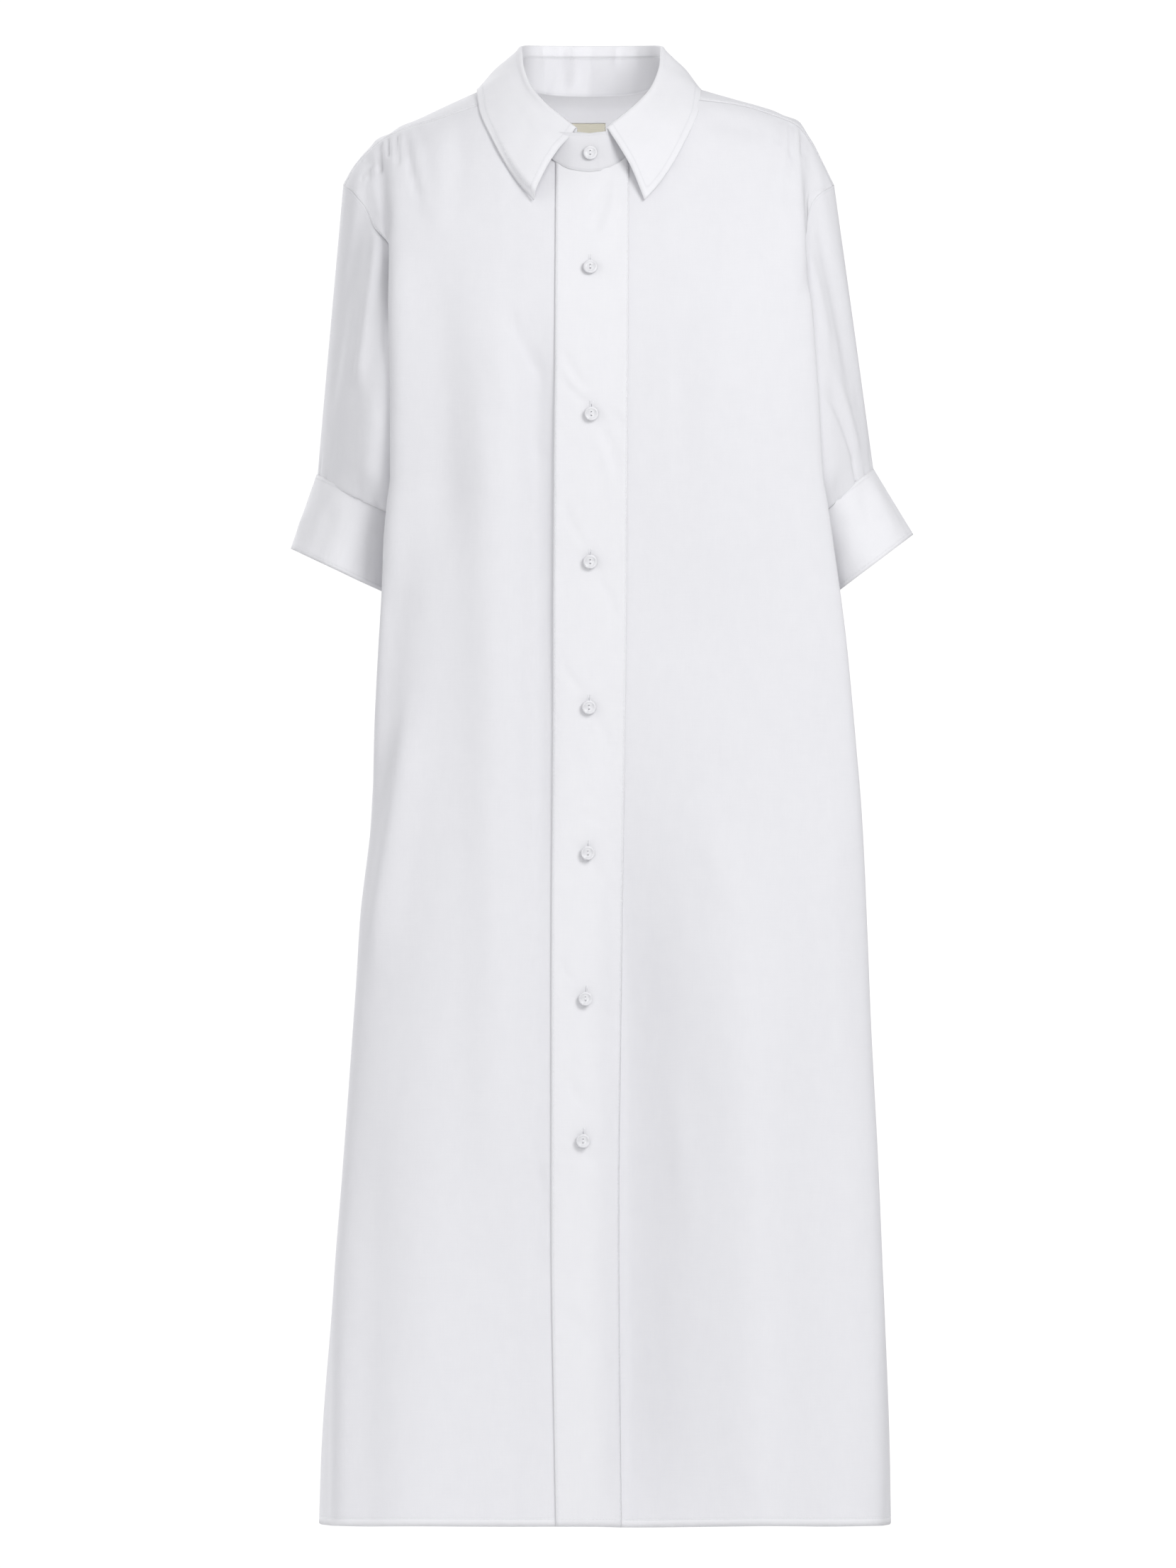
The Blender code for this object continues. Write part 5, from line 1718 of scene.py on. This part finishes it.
@dataclass
class Sleeve:
    """Elbow sleeve and its wide cuff."""

    form: BodyForm
    side: Side
    top_x: float
    top_z: float
    foot_x: float
    foot_z: float
    tilt: float
    sleeve_creases: tuple[Crease, ...]
    cuff_creases: tuple[Crease, ...]
    half_width: float = 52.0
    half_depth: float = 62.0
    flare: float = 1.5
    puff: float = 16.0
    puff_out: float = 0.35
    tuck: float = 0.1
    seam_drop: float = 0.1
    step_run: float = 1.6
    cuff_tuck: float = 1.9
    cuff_overlap: float = 0.06
    columns: int = 168
    rows: int = 96
    cuff_rows: int = 24
    girth: float = 430.0
    length: float = 300.0
    top_fade: float = 0.03
    cuff_depth: float = 68.0
    cuff_wall: float = 1.3
    foot_inset: float = 3.2
    common_creases: tuple[Crease, ...] = table(
        Crease,
        # fullness that leans on the body, in front and behind
        (104, -10, 128, 330, 38, 16), (-160, -10, -160, 330, 40, 8),
        # gathers above the cuff, out of sight as well as in it
        (14, 320, 20, 268, 3.2, -1.1, 0.5, 0, 0.3), (36, 320, 40, 282, 2.8, -1, 0.5, 0, 0.3),
        (96, 320, 92, 262, 3.4, -1.3, 0.5, 0, 0.3), (118, 320, 116, 284, 2.8, -1, 0.5, 0, 0.3),
        (146, 320, 140, 258, 3.4, -1.3, 0.5, 0, 0.3), (176, 320, 172, 276, 3, -1.1, 0.5, 0, 0.3),
        (-24, 320, -30, 270, 3.2, -1.2, 0.5, 0, 0.3), (-48, 320, -50, 284, 2.8, -1, 0.5, 0, 0.3),
        (-74, 320, -70, 256, 3.4, -1.4, 0.5, 0, 0.3), (-102, 320, -104, 280, 3, -1.1, 0.5, 0, 0.3),
        (-130, 320, -124, 262, 3.4, -1.3, 0.5, 0, 0.3), (-168, 320, -166, 278, 3, -1.1, 0.5, 0, 0.3),
        # folds out of the armhole, at the back and under the arm
        (-60, -20, -74, 180, 9, 2.6, 4, 0.2, 0.3), (-100, -10, -112, 150, 8, -2.4, 4, 0, 0.3),
        (-150, 20, -140, 230, 10, 2.2, -5, 0, 0.35), (-30, -10, -34, 90, 5, -1.4, 1, 0, 0.35),
        (150, 40, 160, 240, 10, -2, 5, 0, 0.35),
    )

    def __post_init__(self) -> None:
        """Work out the places of the columns round the sleeve, 0 being the outermost."""
        self.turn = np.arange(self.columns) / self.columns
        self.across = (np.where(self.turn < 0.5, self.turn, self.turn - 1) * self.girth)[None, :]

    def armhole(self, front: ClothSheet, back: ClothSheet, yoke: ClothSheet) -> tuple[Array, Array]:
        """Front and back halves of the armhole, each from the shoulder tip down to the underarm."""
        last = 0 if self.side is Side.RIGHT else -1
        low = self.form.underarm_z
        over_tip = yoke.points[:, last]
        tip = int(np.argmax(np.abs(over_tip[:, 0])))
        edges = (front.points[:, -1], back.points[:, last])
        down_front, down_back = (edge[edge[:, 2] > low] for edge in edges)
        x = self.side * float(read(self.form.side_seams, "x_" + self.side.word, low))
        underarm = np.array([[x, 0.0, low]])
        front_line = np.concatenate([over_tip[tip::-1], down_front, underarm])
        return front_line, np.concatenate([over_tip[tip:], down_back, underarm])

    def rim(self, turn: Array, end: Array, inside: float = 0.0) -> Array:
        """Points of the cuff's rims, or inside them; end 0 is the top and 1 the foot."""
        tilt = math.radians(self.tilt)
        inward = np.array([-self.side * math.cos(tilt), 0.0, -math.sin(tilt)])
        top = np.array([self.top_x, 0.0, self.top_z])
        foot = np.array([self.foot_x, 0.0, self.foot_z])
        outer = top + (foot - top) * np.asarray(end)[..., None]
        half_width = (self.half_width + self.flare * end)[..., None]
        half_depth = self.half_depth + 2 * self.flare * end
        angle = 2 * math.pi * turn
        ring = outer + inward * (half_width - (half_width - inside) * np.cos(angle)[..., None])
        return ring + at_points(0.0, (inside - half_depth) * np.sin(angle), 0.0)

    def tube(self, lines: tuple[Array, Array]) -> ClothSheet:
        """The sleeve, from the armhole seam to the cuff, with its creases."""
        turn = self.turn
        low = 2 * np.minimum(turn, 1 - turn)
        away = np.minimum(1.0, self.step_run * low)
        starts = np.where((turn < 0.5)[:, None], along_line(lines[0], low), along_line(lines[1], low))
        aside, behind = -self.side * self.tuck * away, -self.tuck * np.sign(starts[:, 1])
        starts = starts + at_points(aside, behind, -self.seam_drop * (1 - away))
        ends = self.rim(turn, np.full_like(turn, self.cuff_overlap), self.cuff_tuck)
        angle = 2 * math.pi * turn
        fullness = self.puff * (1 + self.puff_out * (np.cos(angle) - 1)) * np.sin(angle)
        puff = at_points(self.puff_out * self.side * np.abs(fullness), -fullness, 0.0)
        down = np.linspace(0.0, 1.0, self.rows + 1)[:, None, None]
        points = starts + (ends - starts) * down + puff * np.sin(math.pi * down)
        name = self.side.word + "_sleeve_cloth"
        sheet = ClothSheet(name, points, closed=True, flipped=self.side is Side.LEFT)
        down = down[..., 0]
        lift = relief(self.common_creases + self.sleeve_creases, self.across, down * self.length)
        sheet.push(lift * ease(down / self.top_fade))
        return sheet

    def cuff(self) -> ClothSheet:
        """The cuff, a doubled band."""
        end = np.linspace(0.0, 1.0, self.cuff_rows + 1)[:, None]
        points = self.rim(*np.broadcast_arrays(self.turn, end))
        name = self.side.word + "_cuff_cloth"
        sheet = ClothSheet(name, points, wall=self.cuff_wall, closed=True, flipped=self.side is Side.LEFT)
        sheet.push(relief(self.cuff_creases, self.across, end * self.cuff_depth))
        return sheet

    def build(self, lines: tuple[Array, Array], thread: Material) -> None:
        """Make the sleeve and the cuff, with their stitches.

        Args:
            lines: the armhole's front and back halves.
            thread: the sewing thread.
        """
        word, inset = self.side.word, self.foot_inset
        poplin = Poplin(word + "_sleeve_poplin", Layers.SINGLE, 2.0, 0.05, 0.1, 0.08)
        self.tube(lines).hang(poplin.build(), RIMS, "hung")
        cuff = self.cuff()
        poplin = Poplin(word + "_cuff_poplin", Layers.DOUBLED, inset, 0.08, 0.3, 0.08)
        cuff.hang(poplin.build(), RIMS, "folded")
        StitchRow().sew(word + "_cuff_stitches", [cuff.inset(edge, inset) for edge in RIMS], thread)


# ---------------------------------------------------------------------------- studio


class Lamp(NamedTuple):
    """Square soft lamp; lengths in metres."""

    name: str
    place: Place
    size: float
    watts: float


@dataclass(frozen=True)
class Studio:
    """Camera, lamps, world and floor; lengths in metres."""

    distance: float = 30.0
    view_height: float = 1.3296
    sensor: float = 36.0
    middle_x: float = -0.0009
    middle_z: float = -0.5796
    floor_z: float = -1.42
    floor_radius: float = 1.9
    floor_rings: tuple[float, ...] = (0.4, 0.9, 1.0)
    floor_sides: int = 96
    aim: Place = (0.05, 0.0, -0.35)
    lamps: tuple[Lamp, ...] = (
        Lamp("key", (1.75, -2.5, 1.3), 1.5, 70.0),
        Lamp("front", (-0.9, -7.0, 0.2), 1.6, 75.0),
        Lamp("side", (-3.2, -1.4, 0.4), 2.0, 24.0),
        Lamp("back", (-1.7, 2.9, 1.5), 1.6, 95.0),
    )
    neck_lamp: Lamp = Lamp("neck", (0.0, -0.05, -0.17), 0.02, 1.15)
    neck_aim: Place = (0.0, 0.08, 0.002)
    neck_cone: float = 0.95
    neck_blend: float = 0.8
    fill_strength: float = 0.56
    white_strength: float = 1.05

    def build_camera(self) -> None:
        """Long-lens camera straight in front."""
        data = bpy.data.cameras.new("camera")
        data.sensor_width = self.sensor
        data.lens = self.sensor * self.distance / self.view_height
        data.clip_end = 100.0
        camera = add_object("camera", data)
        camera.location = (self.middle_x, -self.distance, self.middle_z)
        camera.rotation_euler = (0.5 * math.pi, 0.0, 0.0)
        bpy.context.scene.camera = camera

    def place_lamp(self, lamp: Lamp, kind: str, aim: Place) -> bpy.types.Light:
        """Put a lamp in its place, aimed at a point."""
        data = bpy.data.lights.new(lamp.name, kind)
        data.energy = lamp.watts
        light = add_object(lamp.name, data)
        light.location = lamp.place
        light.rotation_mode = "QUATERNION"
        light.rotation_quaternion = (Vector(aim) - Vector(lamp.place)).to_track_quat("-Z", "Y")
        return data

    def build_lamps(self) -> None:
        """Square lamps round the dress, and a small one inside that opens up the shade in the neck."""
        for lamp in self.lamps:
            data = self.place_lamp(lamp, "AREA", self.aim)
            data.shape = "SQUARE"
            data.size = lamp.size
        data = self.place_lamp(self.neck_lamp, "SPOT", self.neck_aim)
        data.shadow_soft_size = self.neck_lamp.size
        data.spot_size = self.neck_cone
        data.spot_blend = self.neck_blend

    def build_world(self) -> None:
        """White world, plain white behind the dress and softer as light on it."""
        world = bpy.data.worlds.new("studio")
        world.use_nodes = True
        bpy.context.scene.world = world
        tree = world.node_tree
        tree.nodes.clear()
        mix = tree.nodes.new("ShaderNodeMixShader")
        lights = (((0.985, 0.99, 1.0, 1.0), self.fill_strength), ((1.0, 1.0, 1.0, 1.0), self.white_strength))
        for socket, (colour, strength) in zip((1, 2), lights):
            node = tree.nodes.new("ShaderNodeBackground")
            node.inputs["Color"].default_value = colour
            node.inputs["Strength"].default_value = strength
            tree.links.new(node.outputs[0], mix.inputs[socket])
        tree.links.new(tree.nodes.new("ShaderNodeLightPath").outputs["Is Camera Ray"], mix.inputs[0])
        tree.links.new(mix.outputs[0], tree.nodes.new("ShaderNodeOutputWorld").inputs["Surface"])

    def build_floor(self) -> None:
        """Round pale floor under the dress."""
        count, angles = self.floor_sides, circle(self.floor_sides)
        reach = np.array(self.floor_rings)[:, None] * self.floor_radius / MM
        rings = at_points(reach * np.cos(angles), reach * np.sin(angles), self.floor_z / MM)
        points = np.concatenate([[(0.0, 0.0, self.floor_z / MM)], rings.reshape(-1, 3)])
        faces = [(0, 1 + i, 1 + (i + 1) % count) for i in range(count)]
        for low in range(1, len(points) - count, count):
            for i in range(count):
                j = (i + 1) % count
                faces.append((low + i, low + count + i, low + count + j, low + j))
        add_mesh("floor", points, faces, StudioFloor("pale_floor").build())

    def build(self) -> None:
        """Set up everything round the dress."""
        self.build_camera()
        self.build_world()
        self.build_lamps()
        self.build_floor()
        settings = bpy.context.scene.view_settings
        settings.view_transform = "Standard"
        settings.look = "None"


# ---------------------------------------------------------------------------- the dress

FORM = BodyForm()
RIGHT_SLEEVE = Sleeve(
    FORM, Side.RIGHT, -231, -317, -253, -380, 25,
    sleeve_creases=table(
        Crease,
        (56, -12, 70, 182, 7.5, 3.6, -2, -0.3, 0.2), (76, -8, 92, 120, 6, -2.2, -2),
        (30, 0, 34, 240, 10, -1.4, 2, 0, 0.3), (98, 150, 108, 300, 12, 1.6, 2, 0, 0.3),
        (58, 200, 50, 320, 8, -1.3, 0, 0, 0.35),
    ),
    cuff_creases=table(
        Crease,
        (24, -4, 112, 6, 6, -1.5, 1, 0, 0.2), (14, 26, 40, 84, 12, 1.8, 2, 0, 0.3),
        (66, 12, 60, 84, 12, -1.4, -2, 0, 0.3), (108, -10, 96, 84, 14, 1.1, 0, 0, 0.3),
        (-60, -10, -72, 84, 16, 1.4, 0, 0, 0.3), (-130, -10, -120, 84, 16, -1.4, 0, 0, 0.3),
        (170, -10, 176, 84, 16, -1.2, 0, 0, 0.3),
    ),
)
LEFT_SLEEVE = Sleeve(
    FORM, Side.LEFT, 241, -312, 275, -368, 37,
    sleeve_creases=table(
        Crease,
        (58, 322, 60, 262, 2.4, -2.6, 0.5, 0.3, 0.2), (54, 300, 88, 150, 6, -2.4, -3, -0.3),
        (48, 290, 70, 150, 7, 2, -3, 0, 0.3), (36, -10, 44, 220, 9, -1.9, 2, 0, 0.3),
        (60, 0, 66, 140, 7, 1.7, 1, 0, 0.3), (18, 20, 22, 300, 7, 1.3, 1, 0, 0.35),
    ),
    cuff_creases=table(
        Crease,
        (50, -6, 96, 70, 9, -1.3, 3, 0, 0.35), (34, -6, 58, 76, 10, 1.2, 2, 0, 0.35),
        (78, -6, 124, 60, 9, 1, 3, 0, 0.35), (12, 6, 24, 84, 9, -1, 0, 0, 0.3),
        (-60, -10, -72, 84, 16, -1.4, 0, 0, 0.3), (-130, -10, -120, 84, 16, 1.4, 0, 0, 0.3),
        (172, -10, 166, 84, 16, 1.2, 0, 0, 0.3),
    ),
)


def main() -> None:
    """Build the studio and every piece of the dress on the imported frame."""
    logging.basicConfig(level=logging.INFO, format="%(name)s: %(message)s")
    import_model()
    Studio().build()
    thread = Thread("white_thread").build()
    panels = BodyPanels(FORM)
    fronts, back, yoke = panels.build(thread)
    bands = FrontBands(FORM, panels.front_creases)
    placket = bands.build_placket(thread)
    bands.build_button_band()
    for sleeve in (RIGHT_SLEEVE, LEFT_SLEEVE):
        sleeve.build(sleeve.armhole(fronts[sleeve.side], back, yoke), thread)
    collar = Collar(FORM)
    collar.build(thread)
    NeckLabel(FORM).build(thread)

    def up_at(place: Vector) -> Vector:
        """Direction up the cloth under a button: up the stand, or up the fronts below it."""
        if place.z > FORM.front_top[0].z_left:
            return Vector((0.0, collar.lean, 1.0))
        above, below = (FORM.front_point(np.array(place.x), np.array(place.z + step)) for step in (6, -6))
        return Vector(above - below)

    buttons = ButtonSet()
    buttons.build(up_at, thread)
    buttons.build_holes(placket, bands.buttons, thread)


if __name__ == "__main__":
    main()
